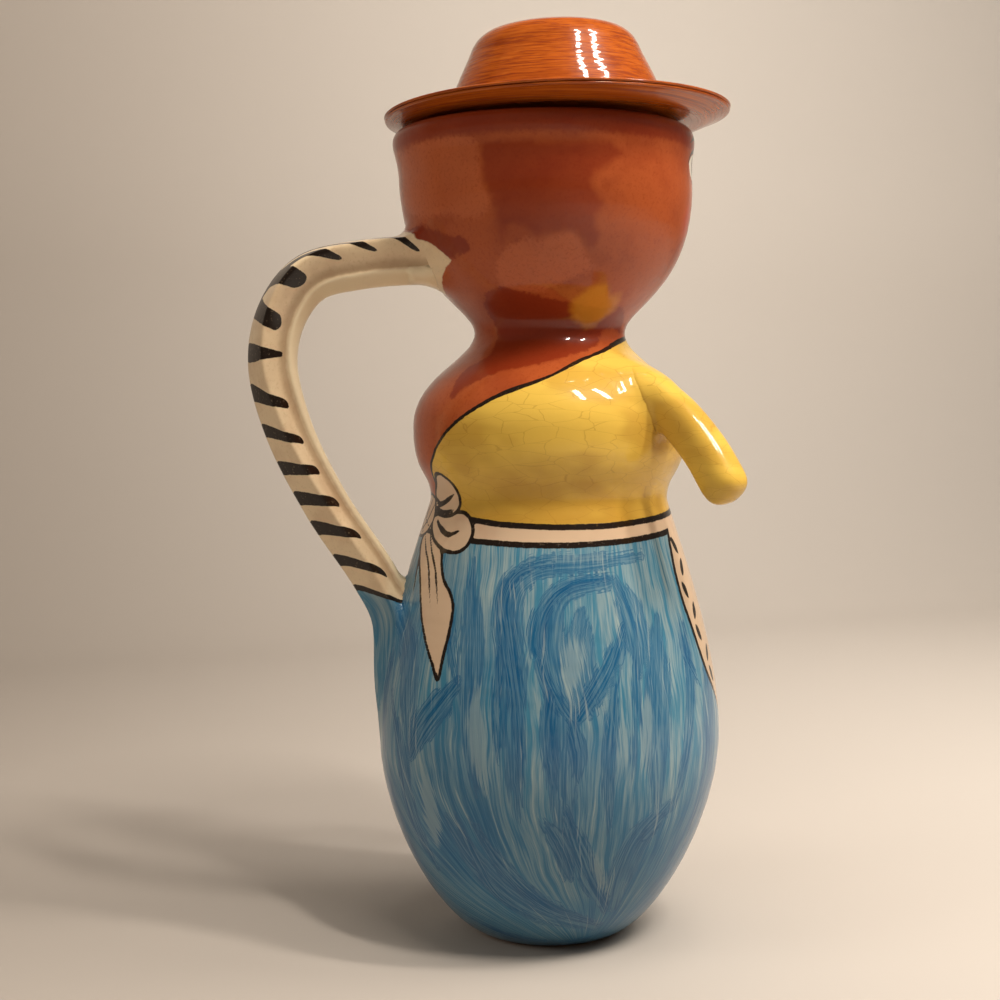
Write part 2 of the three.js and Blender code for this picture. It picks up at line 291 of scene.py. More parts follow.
def upright(v, points):
    """Undoes the lean."""
    share = lean_share(v, points[..., 2])
    straight = points.copy()
    straight[..., 0] += share * v.head_lean
    straight[..., 2] -= share * straight[..., 0] * math.tan(v.rim_climb)
    return straight


def on_vessel(v, azimuth, height):
    """Point of the vessel's outside at an azimuth in degrees and a height."""
    outline = vessel_outline(v)
    radius = np.interp(height, outline[:, 1], outline[:, 0])
    a = np.radians(azimuth)
    return lean(v, np.stack([radius * np.cos(a), radius * np.sin(a), np.asarray(height, float)], -1))


def vessel_distance(v, points):
    """Signed distance to the vessel's outside, and its outward normal: the nearest place on the
    outline, found in the plane of radius and height."""
    outline = resample(vessel_outline(v), every(1.5))
    straight = upright(v, points)
    radius = np.hypot(straight[:, 0], straight[:, 1])
    flat = np.stack([radius, straight[:, 2]], 1)
    best = np.full(len(flat), np.inf)
    normal = np.zeros_like(flat)
    for a, b in zip(outline[:-1], outline[1:]):
        along = b - a
        t = np.clip((flat - a) @ along / (along @ along), 0, 1)
        away = flat - (a + t[:, None] * along)
        distance = np.linalg.norm(away, axis=1)
        nearer = distance < np.abs(best)
        outward = np.array([along[1], -along[0]]) / np.linalg.norm(along)
        sign = np.where(away @ outward < 0, -1, 1)
        best = np.where(nearer, sign * distance, best)
        normal[nearer] = outward
    around = straight[:, :2] / np.maximum(radius, 1e-9)[:, None]
    return best, np.column_stack([around * normal[:, :1], normal[:, 1]])


# Bars: the strap and the arms

class Bar:
    """A section carried along a path. The section is star-shaped: a radius for each angle, in shares
    of the half width and half depth. rings gives its surface and distance a point's rough distance."""

    def __init__(self, path, side, section, half_width, half_depth, twist, tuck, spacing, crowding=1.0):
        fine = catmull(path, 2400)
        total = arc_length(fine)
        self.length = total[-1]
        self.along = self.length * (1 - np.linspace(1, 0, int(self.length / spacing) + 1) ** crowding)
        t = self.along / self.length
        self.middle = np.stack([np.interp(self.along, total, fine[:, i]) for i in range(3)], 1)
        tangent = unit_rows(np.gradient(self.middle, axis=0))
        across = unit_rows(side - tangent * (tangent @ side)[:, None])
        outward = np.cross(tangent, across)
        turn = np.broadcast_to(twist(t), t.shape)
        cos, sin = np.cos(turn)[:, None], np.sin(turn)[:, None]
        self.across = across * cos + outward * sin
        self.outward = outward * cos - across * sin
        self.section = section
        self.half_width = np.broadcast_to(half_width(t), t.shape)
        self.half_depth = np.broadcast_to(half_depth(t), t.shape)
        self.tuck = np.broadcast_to(tuck(t), t.shape)

    def rings(self):
        """Grid of points: path point plus the section's two shares along the two cross directions. The
        tuck narrows the section's inner half."""
        inner = smooth(self.section[None, :, 1], 0.1, -0.95)
        x = self.section[None, :, 0] * self.half_width[:, None] * (1 - self.tuck[:, None] * inner)
        y = self.section[None, :, 1] * self.half_depth[:, None]
        sideways, outwards = x[..., None] * self.across[:, None], y[..., None] * self.outward[:, None]
        return self.middle[:, None] + sideways + outwards

    def distance(self, points):
        """Distance past the section's radius, measured from the nearest place on the path."""
        nearest = np.empty(len(points), int)
        for chunk in np.array_split(np.arange(len(points)), max(len(points) // 4000, 1)):
            gap = ((points[chunk, None] - self.middle[None]) ** 2).sum(2)
            nearest[chunk] = gap.argmin(1)
        offset = points - self.middle[nearest]
        x = (offset * self.across[nearest]).sum(1) / self.half_width[nearest]
        y = (offset * self.outward[nearest]).sum(1) / self.half_depth[nearest]
        angles = np.arctan2(self.section[:, 1], self.section[:, 0])
        order = angles.argsort()
        radii = np.hypot(*self.section.T)
        edge = np.interp(np.arctan2(y, x), angles[order], radii[order], period=2 * math.pi)
        share = np.maximum(np.hypot(x, y), 1e-6)
        return (1 - edge / share) * np.linalg.norm(offset, axis=1)


def blended(a, b, reach):
    """Smooth minimum: the smaller distance less a quarter of reach times the squared overlap share."""
    overlap = np.clip(reach - np.abs(a - b), 0, None) / reach
    return np.minimum(a, b) - overlap ** 2 * reach / 4


def fillet(points, normals, own, other, reach):
    """Moves each point out along its normal until the smooth minimum of the two distances is nought,
    which rounds the corner where the two forms meet. Points inside the other form stay within it."""
    moved = points.copy()
    start = other(points)
    near = np.flatnonzero((start < reach) & (start > -reach))
    if not len(near):
        return moved
    reach = reach[near]
    push = np.zeros(len(near))
    for _ in range(5):
        at = points[near] + push[:, None] * normals[near]
        push = np.clip(push - blended(own(at), other(at), reach), 0, reach * 0.3)
    moved[near] += (push * smooth(start[near] / reach, -0.6, 0))[:, None] * normals[near]
    return moved


def grid_normals(points):
    """Outward unit normals of a grid whose columns close, from the cross product of its two slopes."""
    down = np.gradient(points, axis=0)
    round_ = np.roll(points, -1, 1) - np.roll(points, 1, 1)
    normal = np.cross(round_, down)
    return normal / np.maximum(np.linalg.norm(normal, axis=2, keepdims=True), 1e-12)


def strap_section(count):
    """Shares of half width and half depth round the strap: a slightly crowned flat face, a crisp
    corner, a side that sinks slowly into a groove and rises steeply out of it, and half an ellipse for
    the bead."""
    crown = np.linspace(0, 0.86, 20)
    face = np.stack([crown, 0.97 + 0.03 * (1 - (crown / 0.86) ** 2)], 1)
    corner = quarter((0.86, 0.86), 0.12, 0.11, 90, 0)
    height = np.linspace(0.86, -0.4, 40)
    groove = 0.19 * smooth(height, 0.72, -0.12) * smooth(height, -0.38, -0.18)
    side = np.stack([0.98 - groove, height], 1)
    bead = quarter((0, -0.4), 0.98, 0.6, 0, -90, 24)
    half = np.vstack([face, corner[1:], side[1:], bead[1:]])
    whole = np.vstack([half, (half * [-1, 1])[::-1][1:]])
    return resample(whole, every(arc_length(whole)[-1] / count))[:-1]


def arm_section(count):
    """Shares of half width and half depth round an arm: a superellipse, with three hollows pressed
    along it by the fingers, one below and two at the sides."""
    a = np.linspace(0, 2 * math.pi, count, endpoint=False)
    radius = (np.abs(np.cos(a)) ** 2.6 + np.abs(np.sin(a)) ** 2.6) ** (-1 / 2.6)
    for middle, depth in ((-1.15, 0.10), (3.55, 0.08), (0.55, 0.05)):
        apart = np.angle(np.exp(1j * (a - middle)))
        radius = radius * (1 - depth * np.exp(-(apart / 0.42) ** 2))
    return np.stack([radius * np.cos(a), radius * np.sin(a)], 1)


def strap(h, v):
    """The handle: out of the head, round the bend, down to the hip and along it."""
    drop = h.reach_height - h.hip_height
    hip = v.belly_radius - 6
    top, side = h.top_height, h.top_side
    path = [
        (-v.head_radius * 0.68, side, top + 1),
        (-h.reach * 0.69, side * 0.7, top - 1.7),
        (-h.reach * 0.872, side * 0.4, top - 7),
        (-h.reach * 0.966, side * 0.1, top - 20),
        (-h.reach, 0, h.reach_height),
        (-h.reach * 0.948, 0, h.reach_height - drop * 0.25),
        (-h.reach * 0.814, 0, h.reach_height - drop * 0.55),
        (-hip - 7.4, 0, h.reach_height - drop * 0.84),
        (-hip, 0, h.hip_height),
        (-hip + 1.8, 0, (h.hip_height + h.tail_height) / 2),
        (-hip + 9.5, 0, h.tail_height),
    ]
    return Bar(
        path, np.array([0.0, -1, 0]), strap_section(72),
        lambda t: h.width / 2 * (1 + 0.10 * smooth(t, 0.16, 0.05)),
        lambda t: (h.thickness + (h.foot_thickness - h.thickness) * smooth(t, 0.2, 0.6)) / 2,
        lambda t: -(h.twist_top + (h.twist_foot - h.twist_top) * smooth(t, 0.1, 0.65)),
        lambda t: 0.50 * smooth(t, 0.42, 0.22),
        1.1)


def arm(a, sign):
    """One arm, falling outwards in a bow and rounded at its blunt tip."""
    out = np.array([math.cos(a.turn), sign * math.sin(a.turn), 0])
    fall = a.shoulder_height - a.tip_height
    steps = ((0.40, 0.12), (0.52, 0.13), (0.7, 0.31), (0.87, 0.62), (0.975, 0.9), (1.025, 1.02))
    path = [out * a.reach * r + np.array([0, 0, a.shoulder_height - fall * s]) for r, s in steps]
    tip = lambda t: np.sqrt(np.clip(1 - np.clip((t - 0.8) / 0.2, 0, 1) ** 5, 0, 1))
    size = lambda t: tip(t) * (0.7 + 0.3 * smooth(t, 0, 0.3))
    return Bar(
        path, np.array([-out[1], out[0], 0]), arm_section(56),
        lambda t: a.width / 2 * (1 + 0.08 * smooth(t, 0.6, 0.9)) * size(t),
        lambda t: a.depth / 2 * size(t),
        lambda t: 0 * t,
        lambda t: 0 * t,
        0.75, crowding=1.8)


# Meshes

def closed_grid(name, points, attributes):
    """Closed mesh from a grid whose columns close: quads between the rows, and a fan to one middle
    point at each end. attributes holds a value for each point of the grid."""
    rows, columns = points.shape[:2]
    index = np.arange(rows * columns).reshape(rows, columns)
    here, beside = index, np.roll(index, -1, 1)
    quads = np.stack([here[:-1], beside[:-1], beside[1:], here[1:]], -1).reshape(-1, 4)
    first, last = rows * columns, rows * columns + 1
    fans = np.vstack([
        np.stack([beside[0], here[0], np.full(columns, first)], 1),
        np.stack([here[-1], beside[-1], np.full(columns, last)], 1),
    ])
    vertices = np.vstack([points.reshape(-1, 3), points[0].mean(0), points[-1].mean(0)]) * MM
    corners = np.vstack([quads[:, :3], quads[:, [0, 2, 3]], fans])
    a, b, c = (vertices[corners[:, i]] for i in range(3))
    if (np.cross(a, b) * c).sum() < 0:
        quads, fans = quads[:, ::-1], fans[:, ::-1]
    mesh = bpy.data.meshes.new(name)
    mesh.from_pydata(vertices.tolist(), [], quads.tolist() + fans.tolist())
    mesh.shade_smooth()
    for key, values in attributes.items():
        flat = np.r_[values.reshape(-1), values[0].mean(), values[-1].mean()]
        mesh.attributes.new(key, "FLOAT", "POINT").data.foreach_set("value", flat.astype(np.float32))
    mesh.validate()
    piece = bpy.data.objects.new(name, mesh)
    bpy.context.scene.collection.objects.link(piece)
    return piece


def dress(piece, node, material):
    """The piece takes the node's place and its material."""
    piece.data.materials.append(material)
    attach(piece, "root")
    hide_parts(node)


# Painted outlines, as azimuth in degrees from the figure's front and height in millimetres

NECKLINE = ((0, 231), (-22, 230.6), (-46.5, 228.3), (-65, 225), (-84.5, 221.3), (-103.9, 214.6),
            (-123, 208.4), (-135.5, 202.3), (-147.7, 194.6), (-157, 186.6), (-163.7, 180.5), (-167.5, 174),
            (-169.5, 166), (-170, 150), (-170, 120))
BAND_TOP = ((0, 165.4), (32.6, 163.6), (56.8, 162.1), (79, 160.9), (101.5, 160.8), (123.9, 161.6),
            (139, 162.9), (180, 164))
BAND_BOTTOM = ((0, 158.6), (32, 158.0), (43, 157), (70, 155.3), (93.1, 154.4), (114.2, 154.5),
               (133.8, 155.2), (180, 157))
APRON = ((0, 162), (35.5, 161), (38.2, 156), (40.8, 148), (42, 139), (41, 130), (38.6, 121), (36, 112),
         (32, 103), (25.5, 94.5), (18, 86), (9, 79.5), (0, 77))
UPPER_LOOP = ((-169, 165.5), (-170.5, 171), (-166, 175.5), (-161.4, 178.9), (-157.2, 179.3), (-151.9, 176.6),
              (-148.4, 172.2), (-147.2, 167.5), (-149.6, 164.6), (-158, 163.5))
LOWER_LOOP = ((-167.5, 163), (-158, 164.8), (-148.5, 165.2), (-142.7, 165), (-138.2, 162.3),
              (-136.3, 158.5), (-137.6, 153.9), (-141.6, 151.2), (-147.3, 150.7), (-154.5, 152.2),
              (-161.5, 155.2), (-166.5, 159.5))
TAIL = ((-171.5, 157.5), (-161, 156), (-152.3, 150.6), (-150.2, 146), (-146.8, 140.6), (-141.8, 136),
        (-139.4, 131.6), (-139.2, 124), (-140.4, 113), (-141.6, 105.2), (-144.4, 109.5), (-149.4, 116.7),
        (-155, 125.2), (-158.9, 132.2), (-163.9, 140.2), (-170, 147), (-174.3, 153))
KNOT = ((-172, 169.8), (-168.6, 166.4), (-166.6, 162.4), (-168, 159.2), (-172, 156.2), (-180, 154.8),
        (-188, 156.2), (-192, 159.2), (-193.4, 162.4), (-191.4, 166.4), (-188, 169.8), (-180, 171))
FOLDS = (((-169.2, 169.4), (-163.9, 167.6), (-158.8, 168.6), (-151.8, 171.7)),
         ((-167.6, 166.3), (-162.1, 164.9), (-158.4, 164.5), (-150.4, 165.9)),
         ((-161.9, 161.3), (-156.6, 158.7), (-150.2, 156.9), (-143.9, 158.6)))
PLEATS = (((-171.1, 155.5), (-165, 150), (-159.4, 145.1), (-150.8, 129.3)),
          ((-165.8, 156.6), (-159.5, 150), (-153.4, 143.7), (-146, 128.3)),
          ((-174, 154), (-170.5, 146), (-168, 138), (-166, 131)))
KNOT_FOLDS = (((-170, 168), (-176, 160), (-184, 156)), ((-176, 170), (-181, 162), (-190, 159)),
              ((-190, 168), (-184, 160), (-176, 156)), ((-184, 170), (-179, 162), (-170, 159)))
APRON_STEM = ((0, 153), (0.8, 120), (0, 86))

# Width of a drawn line, the distance that stands for far away, and how far round a curve's box points
# are measured, in millimetres
LINE = 1.6
FAR = 50.0
BOX_MARGIN = 12


def chart_curve(points, closed=False):
    """Smooth curve through chart points."""
    p = np.array(points, float)
    if closed:
        p = np.vstack([p, p[:1]])
    return catmull(p, len(p) * 8)


def mirrored(points):
    return [(-a, z) for a, z in points]


def both_sides(shape):
    return shape, mirrored(shape)


def chart(v, points):
    """Azimuth in degrees and height in millimetres of points, once the lean is undone."""
    straight = upright(v, points)
    return np.degrees(np.arctan2(straight[:, 1], straight[:, 0])), straight[:, 2]


def line_places(v, points, curve, width, outward=None):
    """For each point the least distance from a curve drawn on the vessel, less half the curve's width
    there, and the lengths across and along the curve. width gives the width for shares of the curve's
    length. The side across is only known with outward normals. Points outside the curve's box and its
    margin count as far away."""
    line = on_vessel(v, curve[:, 0], curve[:, 1])
    run = arc_length(line)
    best, marks = np.full(len(points), FAR), np.zeros((len(points), 2))
    low, high = line.min(0) - BOX_MARGIN, line.max(0) + BOX_MARGIN
    near = np.flatnonzero(((points > low) & (points < high)).all(1))
    spots, found, places = points[near], best[near], marks[near]
    for a, b, start in zip(line[:-1], line[1:], run[:-1]):
        ahead = b - a
        length = max(np.linalg.norm(ahead), 1e-6)
        t = np.clip((spots - a) @ ahead / length ** 2, 0, 1)
        offset = spots - a - t[:, None] * ahead
        gap = np.linalg.norm(offset, axis=1)
        along = start + t * length
        less = gap - width(along / run[-1]) / 2
        closer = less < found
        found = np.where(closer, less, found)
        if outward is not None:
            side = np.sign((np.cross(outward[near], ahead) * offset).sum(1))
            places = np.where(closer[:, None], np.stack([side * gap, along], 1), places)
    best[near], marks[near] = found, places
    return best, marks[:, 0], marks[:, 1]


def brush(start, full, end):
    """A stroke's width along it: thin at both ends and full in its middle third."""
    return lambda t: np.interp(t, (0, 0.35, 0.7, 1), (start, full, full * 0.9, end))


def drawn(v, points, shape, *widths):
    """Signed distance to a line drawn through chart points with a brush of three widths."""
    return line_places(v, points, chart_curve(shape), brush(*widths))[0]


def inside(polygon, across, height):
    """Even-odd test: how often a level ray from each chart point crosses the polygon's edges."""
    odd = np.zeros(len(across), bool)
    for (x0, y0), (x1, y1) in zip(polygon, np.roll(polygon, -1, 0)):
        crosses = (y0 > height) != (y1 > height)
        if crosses.any():
            at = x0 + (height - y0) / (y1 - y0 if y1 != y0 else 1e-9) * (x1 - x0)
            odd ^= crosses & (across < at)
    return odd


def bounded(v, points, curve):
    """Signed distance to what a curve bounds: the curve's distance, negative inside it, where a straight
    line joins the curve's ends. Patches at the back are charted past -180 degrees."""
    azimuth, height = chart(v, points)
    middle = curve[:, 0].mean()
    turned = (azimuth - middle + 180) % 360 - 180 + middle
    gap = line_places(v, points, curve, lambda t: 0)[0]
    return np.where(inside(curve, turned, height), -gap, gap)


def patch(v, points, outline):
    """Signed distance to a painted patch with a smooth outline through chart points."""
    return bounded(v, points, chart_curve(outline, closed=True))


def leaf_distance(v, points, azimuth, height, turn, size):
    """Signed distance to an almond leaf painted at a chart place: in the tangent plane, the larger
    distance past two equal circles that cross at the leaf's tips."""
    a, t = math.radians(azimuth), math.radians(turn)
    offset = points - on_vessel(v, azimuth, height)
    x, y = offset @ np.array([-math.sin(a), math.cos(a), 0]), offset[:, 2]
    along, across = x * math.sin(t) + y * math.cos(t), x * math.cos(t) - y * math.sin(t)
    bulge = size * 0.42
    radius = (size ** 2 + bulge ** 2) / (2 * bulge)
    leaf = np.hypot(along, np.abs(across) + radius - bulge) - radius
    behind = offset @ np.array([math.cos(a), math.sin(a), 0]) < -20
    return np.where(behind, FAR, leaf)


def apron_leaves():
    """Azimuth, height, turn and half length of each leaf: a row with every other leaf farther in beside
    each edge of the apron, and pairs up its stem."""
    places, heights = np.array(APRON[1:]).T
    leaves = []
    for sign in (-1, 1):
        for k in range(9):
            height, farther = 152 - 8.2 * k, k % 2
            edge = np.interp(-height, -heights, places)
            leaves.append((sign * (edge - 5.0 - 3.2 * farther), height, sign * (28 - 60 * farther), 4.0))
        leaves += [(sign * 3.4, 148 - 9.0 * k, sign * 48, 3.4) for k in range(7)]
    return leaves


def dress_areas(v, points):
    """Signed distances to the blouse, to the linen of band, apron and bow, and to the lines in ink. The
    bow's parts are laid in order, each hiding the lines under it."""
    neckline = chart_curve(NECKLINE)
    blouse = bounded(v, points, np.vstack([neckline[::-1], mirrored(neckline)[1:]]))

    azimuth, height = chart(v, points)
    side = np.abs(azimuth)
    top, bottom = (np.interp(side, *np.array(edge).T) for edge in (BAND_TOP, BAND_BOTTOM))
    apron = patch(v, points, [*APRON, *mirrored(APRON)[::-1][1:-1]])
    linen = np.minimum(np.maximum(height - top, bottom - height), apron)
    ink = np.abs(linen) - LINE * 0.66

    for outline in (TAIL, LOWER_LOOP, UPPER_LOOP):
        for shape in both_sides(outline):
            part = patch(v, points, shape)
            ink = np.minimum(np.maximum(ink, -part), np.abs(part) - LINE / 2)
            linen = np.minimum(linen, part)
    strokes = [(shape, (1.2, 2.3, 0.6)) for shape in FOLDS] + [(shape, (0.8, 1.5, 0.5)) for shape in PLEATS]
    for stroke, widths in strokes:
        for shape in both_sides(stroke):
            ink = np.minimum(ink, drawn(v, points, shape, *widths))
    knot = patch(v, points, KNOT)
    ink = np.minimum(np.maximum(ink, -knot), np.abs(knot) - LINE * 0.4)
    linen = np.minimum(linen, knot)
    for stroke in KNOT_FOLDS:
        ink = np.minimum(ink, drawn(v, points, stroke, 0.6, 1.0, 0.6))

    for leaf in apron_leaves():
        ink = np.minimum(ink, leaf_distance(v, points, *leaf))
    ink = np.minimum(ink, drawn(v, points, APRON_STEM, 0.9, 1.2, 0.8))
    return {"blouse": blouse, "linen": linen, "ink": ink}


BROAD_STROKES = (
    (14, ((-176, 132), (-160, 113), (-155, 94), (-152, 78))),
    (10, ((-134, 149), (-129, 118), (-127, 87), (-125, 64))),
    (11, ((-112, 57), (-113, 88), (-114, 113), (-117, 129), (-115, 140), (-107, 146), (-86, 148),
          (-62, 150))),
    (12, ((-96, 34), (-98, 68), (-98, 99), (-101, 121), (-97, 136), (-78, 141))),
    (14, ((-64, 59), (-66, 86), (-63, 111), (-60, 128))),
    (13, ((-90, 132), (-92, 118), (-91, 104), (-88, 96))),
    (11, ((-76, 143), (-72, 132), (-70, 118), (-71, 108))),
    (12, ((-29, 119), (-36, 92), (-37, 64), (-40, 40))),
    (13, ((-138, 55), (-129, 39), (-112, 23), (-76, 10))),
    (13, ((-59, 60), (-69, 49), (-73, 33), (-71, 18))),
    (16, ((-20, 72), (-18, 50), (-22, 24))),
    (16, ((-2, 70), (3, 48), (-2, 22))),
    (12, ((-178, 70), (-174, 48), (-168, 22))),
)
MIDDLE_STROKES = (
    (7, ((-110, 62), (-112, 99), (-116, 122), (-118, 136), (-113, 145), (-100, 147))),
    (7, ((-101, 104), (-106, 119), (-104, 132), (-96, 140), (-77, 143))),
    (8, ((-75, 126), (-81, 113), (-88, 101), (-93, 93))),
    (6, ((-106, 126), (-104, 111), (-99, 99), (-94, 91))),
    (5, ((-77, 121), (-81, 98), (-83, 72), (-80, 44))),
    (6.5, ((-45, 124), (-47, 105), (-52, 79), (-57, 57))),
    (13, ((-133, 106), (-140, 96), (-147, 86), (-152, 76))),
    (7, ((-128, 57), (-120, 40), (-105, 24), (-74, 11))),
    (9, ((-97, 62), (-92, 47), (-85, 32), (-74, 18))),
    (9, ((-168, 97), (-158, 77), (-156, 51), (-151, 31))),
    (9, ((-12, 66), (-10, 44), (-14, 16))),
    (8, ((-32, 70), (-28, 46), (-30, 20))),
)
DARK_STROKES = (
    (7, ((-95, 93), (-93, 82), (-93, 72))),
    (7, ((-101, 105), (-102, 89), (-100, 68))),
    (5, ((-119, 119), (-118, 98), (-117, 78))),
    (8, ((-104, 59), (-97, 45), (-93, 34))),
    (4, ((-71, 126), (-73, 98), (-74, 66))),
    (4, ((-134, 58), (-130, 43), (-123, 26), (-108, 16))),
    (5, ((-143, 138), (-139, 122), (-134, 105))),
    (6, ((-59, 57), (-64, 52), (-70, 46))),
    (4, ((-47, 126), (-48, 114), (-41, 100))),
    (6, ((-154, 14), (-127, 6), (-91, 3), (-64, 7))),
    (5, ((-170, 120), (-174, 90), (-172, 60))),
)
LIFTED_STROKES = (
    (9, ((-126, 106), (-125, 87), (-122, 66))),
    (10, ((-146, 74), (-145, 57), (-146, 42))),
    (9, ((-94, 124), (-94, 113), (-96, 103))),
    (6, ((-67, 107), (-70, 87), (-70, 70))),
    (6, ((-87, 45), (-83, 37), (-77, 25))),
    (5, ((-77, 98), (-78, 72))),
    (4, ((-100, 150), (-88, 150), (-76, 150))),
    (8, ((-59, 138), (-59, 130))),
    (7, ((-24, 62), (-23, 36))),
)
STROKES = {"broad_strokes": BROAD_STROKES, "middle_strokes": MIDDLE_STROKES, "dark_strokes": DARK_STROKES,
           "lifted_strokes": LIFTED_STROKES}
WASHES = {
    "dark_wash": (
        ((-126.4, 299), (-105, 298.5), (-77, 298.3), (-70, 294), (-76, 290), (-84, 284), (-79, 276),
         (-82.8, 270.4), (-79.7, 265.6), (-84.2, 259), (-92.6, 266.9), (-101, 265.4), (-106.2, 262.5),
         (-114.7, 267), (-121.2, 260.5), (-123.8, 265.8), (-123.2, 276.9), (-126.1, 285.3)),
    ),
    "red_wash": (
        ((-176, 268.5), (-166.3, 271.3), (-152.3, 270.6), (-146.8, 267.5), (-138.3, 265), (-137.2, 261.9),
         (-142.1, 259.6), (-149.5, 257.9), (-157.7, 260.5), (-168.7, 264.5)),
        ((-148.2, 242.9), (-132, 247), (-106.6, 244.2), (-76.8, 241.4), (-48, 242), (-34, 237), (-30, 231),
         (-47.6, 232.8), (-64.1, 228.2), (-95.7, 221.4), (-117.4, 218.1), (-141.7, 211.7), (-147.1, 208.5),
         (-150.2, 217.8), (-143.1, 223.5), (-146.9, 232.7), (-149.3, 238.6)),
    ),
    "pale_wash": (
        ((-121.1, 260.7), (-111, 266), (-100.9, 264.1), (-92, 265.5), (-85.7, 258.5), (-81, 254.5),
         (-100.6, 247.2), (-125, 248.3), (-127.1, 254.7)),
        ((-175, 301), (-150, 301), (-127, 300.5), (-126.5, 285), (-124, 275), (-140, 272), (-160, 275),
         (-176, 280)),
    ),
}
AMBER = ((-80.8, 248.4), (-71, 249.6), (-66, 246.5), (-58, 246.4), (-52.6, 240.4), (-60, 235.5),
         (-70.7, 232.8), (-84, 236), (-90, 241))
STRAP_TIP = ((-149.5, 258.0), (-155, 262.3), (-161, 266.3), (-170, 269), (-180, 270), (-190, 268.5),
             (-197, 262), (-198, 256), (-190, 249), (-176, 247.5), (-165, 251), (-157, 255.6))
FACE_EYE = ((-29.6, 294.8), (-26, 297.8), (-20, 299.3), (-13, 297.2), (-8.5, 293), (-13, 290.4), (-20, 289.4),
            (-27, 291.2))
FACE_STROKES = (
    (((-31, 294.4), (-27, 298.6), (-20, 300.6), (-13, 298.6), (-7.5, 292.6)), (0.7, 1.8, 0.8)),
    (((-29.5, 292.2), (-24, 289.6), (-17, 288.8), (-10.5, 290.8)), (0.6, 1.1, 0.6)),
    (((-30, 302.6), (-24, 304.8), (-17, 305.2), (-9.5, 303.0)), (0.7, 1.7, 1.3)),
    (((-16.5, 263.0), (-9, 261.2), (0, 261.9), (9, 261.2), (16.5, 263.0)), (0.6, 1.3, 0.6)),
)
FACE_NOSE = ((-5.5, 297.5), (-4.6, 288), (-6.2, 280), (-7.8, 275.4), (-5, 273.2), (-1, 272.6), (3.5, 273.6))
FACE_LIPS = ((-16, 263.1), (-8, 267.0), (-3.5, 267.9), (0, 266.7), (3.5, 267.9), (8, 267.0), (16, 263.1),
             (9, 257.8), (0, 256.2), (-9, 257.8))
PUPIL = (-19.5, 294.6)
PUPIL_RADIUS = 4.0
CHEEK = (27.0, 274.0)
CHEEK_RADIUS = 7

# How far apart two strokes' lengths across are counted, and where the flow's lines run together: below
# this height, towards this azimuth
STROKE_APART = 40
GATHER_HEIGHT = 84
GATHER_AZIMUTH = 75


def stroke_layer(v, points, outward, strokes):
    """Signed distance to a layer's brush strokes, and the lengths across and along the nearest of them,
    which its bristles' marks follow. Each stroke counts its lengths across from a number of its own."""
    best, marks = np.full(len(points), FAR), np.zeros((2, len(points)))
    shapes = [(width, shape) for width, places in strokes for shape in both_sides(places)]
    for number, (width, shape) in enumerate(shapes):
        taper = brush(width * 0.2, width, width * 0.25)
        less, across, along = line_places(v, points, chart_curve(shape), taper, outward)
        closer = less < best
        best = np.where(closer, less, best)
        marks = np.where(closer, (across + STROKE_APART * number, along), marks)
    return best, *marks


def skirt_areas(v, points):
    """Each layer of brush strokes, and the flow that the marks of the coat beneath them follow: the way
    round the skirt, which below the belly is stretched so that its lines run together at one place on
    either side of the foot."""
    areas = {}
    outward = vessel_distance(v, points)[1]
    for layer, strokes in STROKES.items():
        parts = stroke_layer(v, points, outward, strokes)
        areas |= {layer + ending: part for ending, part in zip(("", "_across", "_along"), parts)}
    side = np.degrees(np.arctan2(np.abs(points[:, 1]), points[:, 0]))
    rise = np.clip(points[:, 2] / GATHER_HEIGHT, 0, 1)
    spread = 0.16 + 0.84 * (1 - (1 - rise) ** 2.4)
    areas["flow"] = (GATHER_AZIMUTH + (side - GATHER_AZIMUTH) / spread) * math.radians(v.belly_radius)
    return areas


def wash_areas(v, points):
    """Signed distance to each kind of wash brushed over the terracotta."""
    areas = {}
    for kind, outlines in WASHES.items():
        shapes = [shape for outline in outlines for shape in both_sides(outline)]
        areas[kind] = np.min([patch(v, points, shape) for shape in shapes], 0)
    return areas


def face_areas(v, points):
    """A plain painted face: two almond eyes with pupils and brows, a drawn nose, a mouth and cheeks."""
    ink, eyes, cheeks = drawn(v, points, FACE_NOSE, 0.7, 1.3, 0.8), [], []
    for sign, flip in ((1, list), (-1, mirrored)):
        eyes.append(patch(v, points, flip(FACE_EYE)))
        pupil = np.linalg.norm(points - on_vessel(v, sign * PUPIL[0], PUPIL[1]), axis=1) - PUPIL_RADIUS
        ink = np.minimum(ink, np.maximum(pupil, eyes[-1]))
        for stroke, widths in FACE_STROKES:
            ink = np.minimum(ink, drawn(v, points, flip(stroke), *widths))
        place = on_vessel(v, sign * CHEEK[0], CHEEK[1])
        cheeks.append(np.linalg.norm(points - place, axis=1) - CHEEK_RADIUS)
    return {"ink": ink, "eyes": np.minimum(*eyes), "cheek": np.minimum(*cheeks),
            "mouth": patch(v, points, FACE_LIPS)}


# Node helpers

class Socket:
    """What a node gives. Sums and products with it make further Math nodes."""

    def __init__(self, tree, output):
        self.tree, self.output = tree, output

    def __add__(self, other):
        return self.tree.math("ADD", self, other)

    def __sub__(self, other):
        return self.tree.math("SUBTRACT", self, other)

    def __mul__(self, other):
        return self.tree.math("MULTIPLY", self, other)


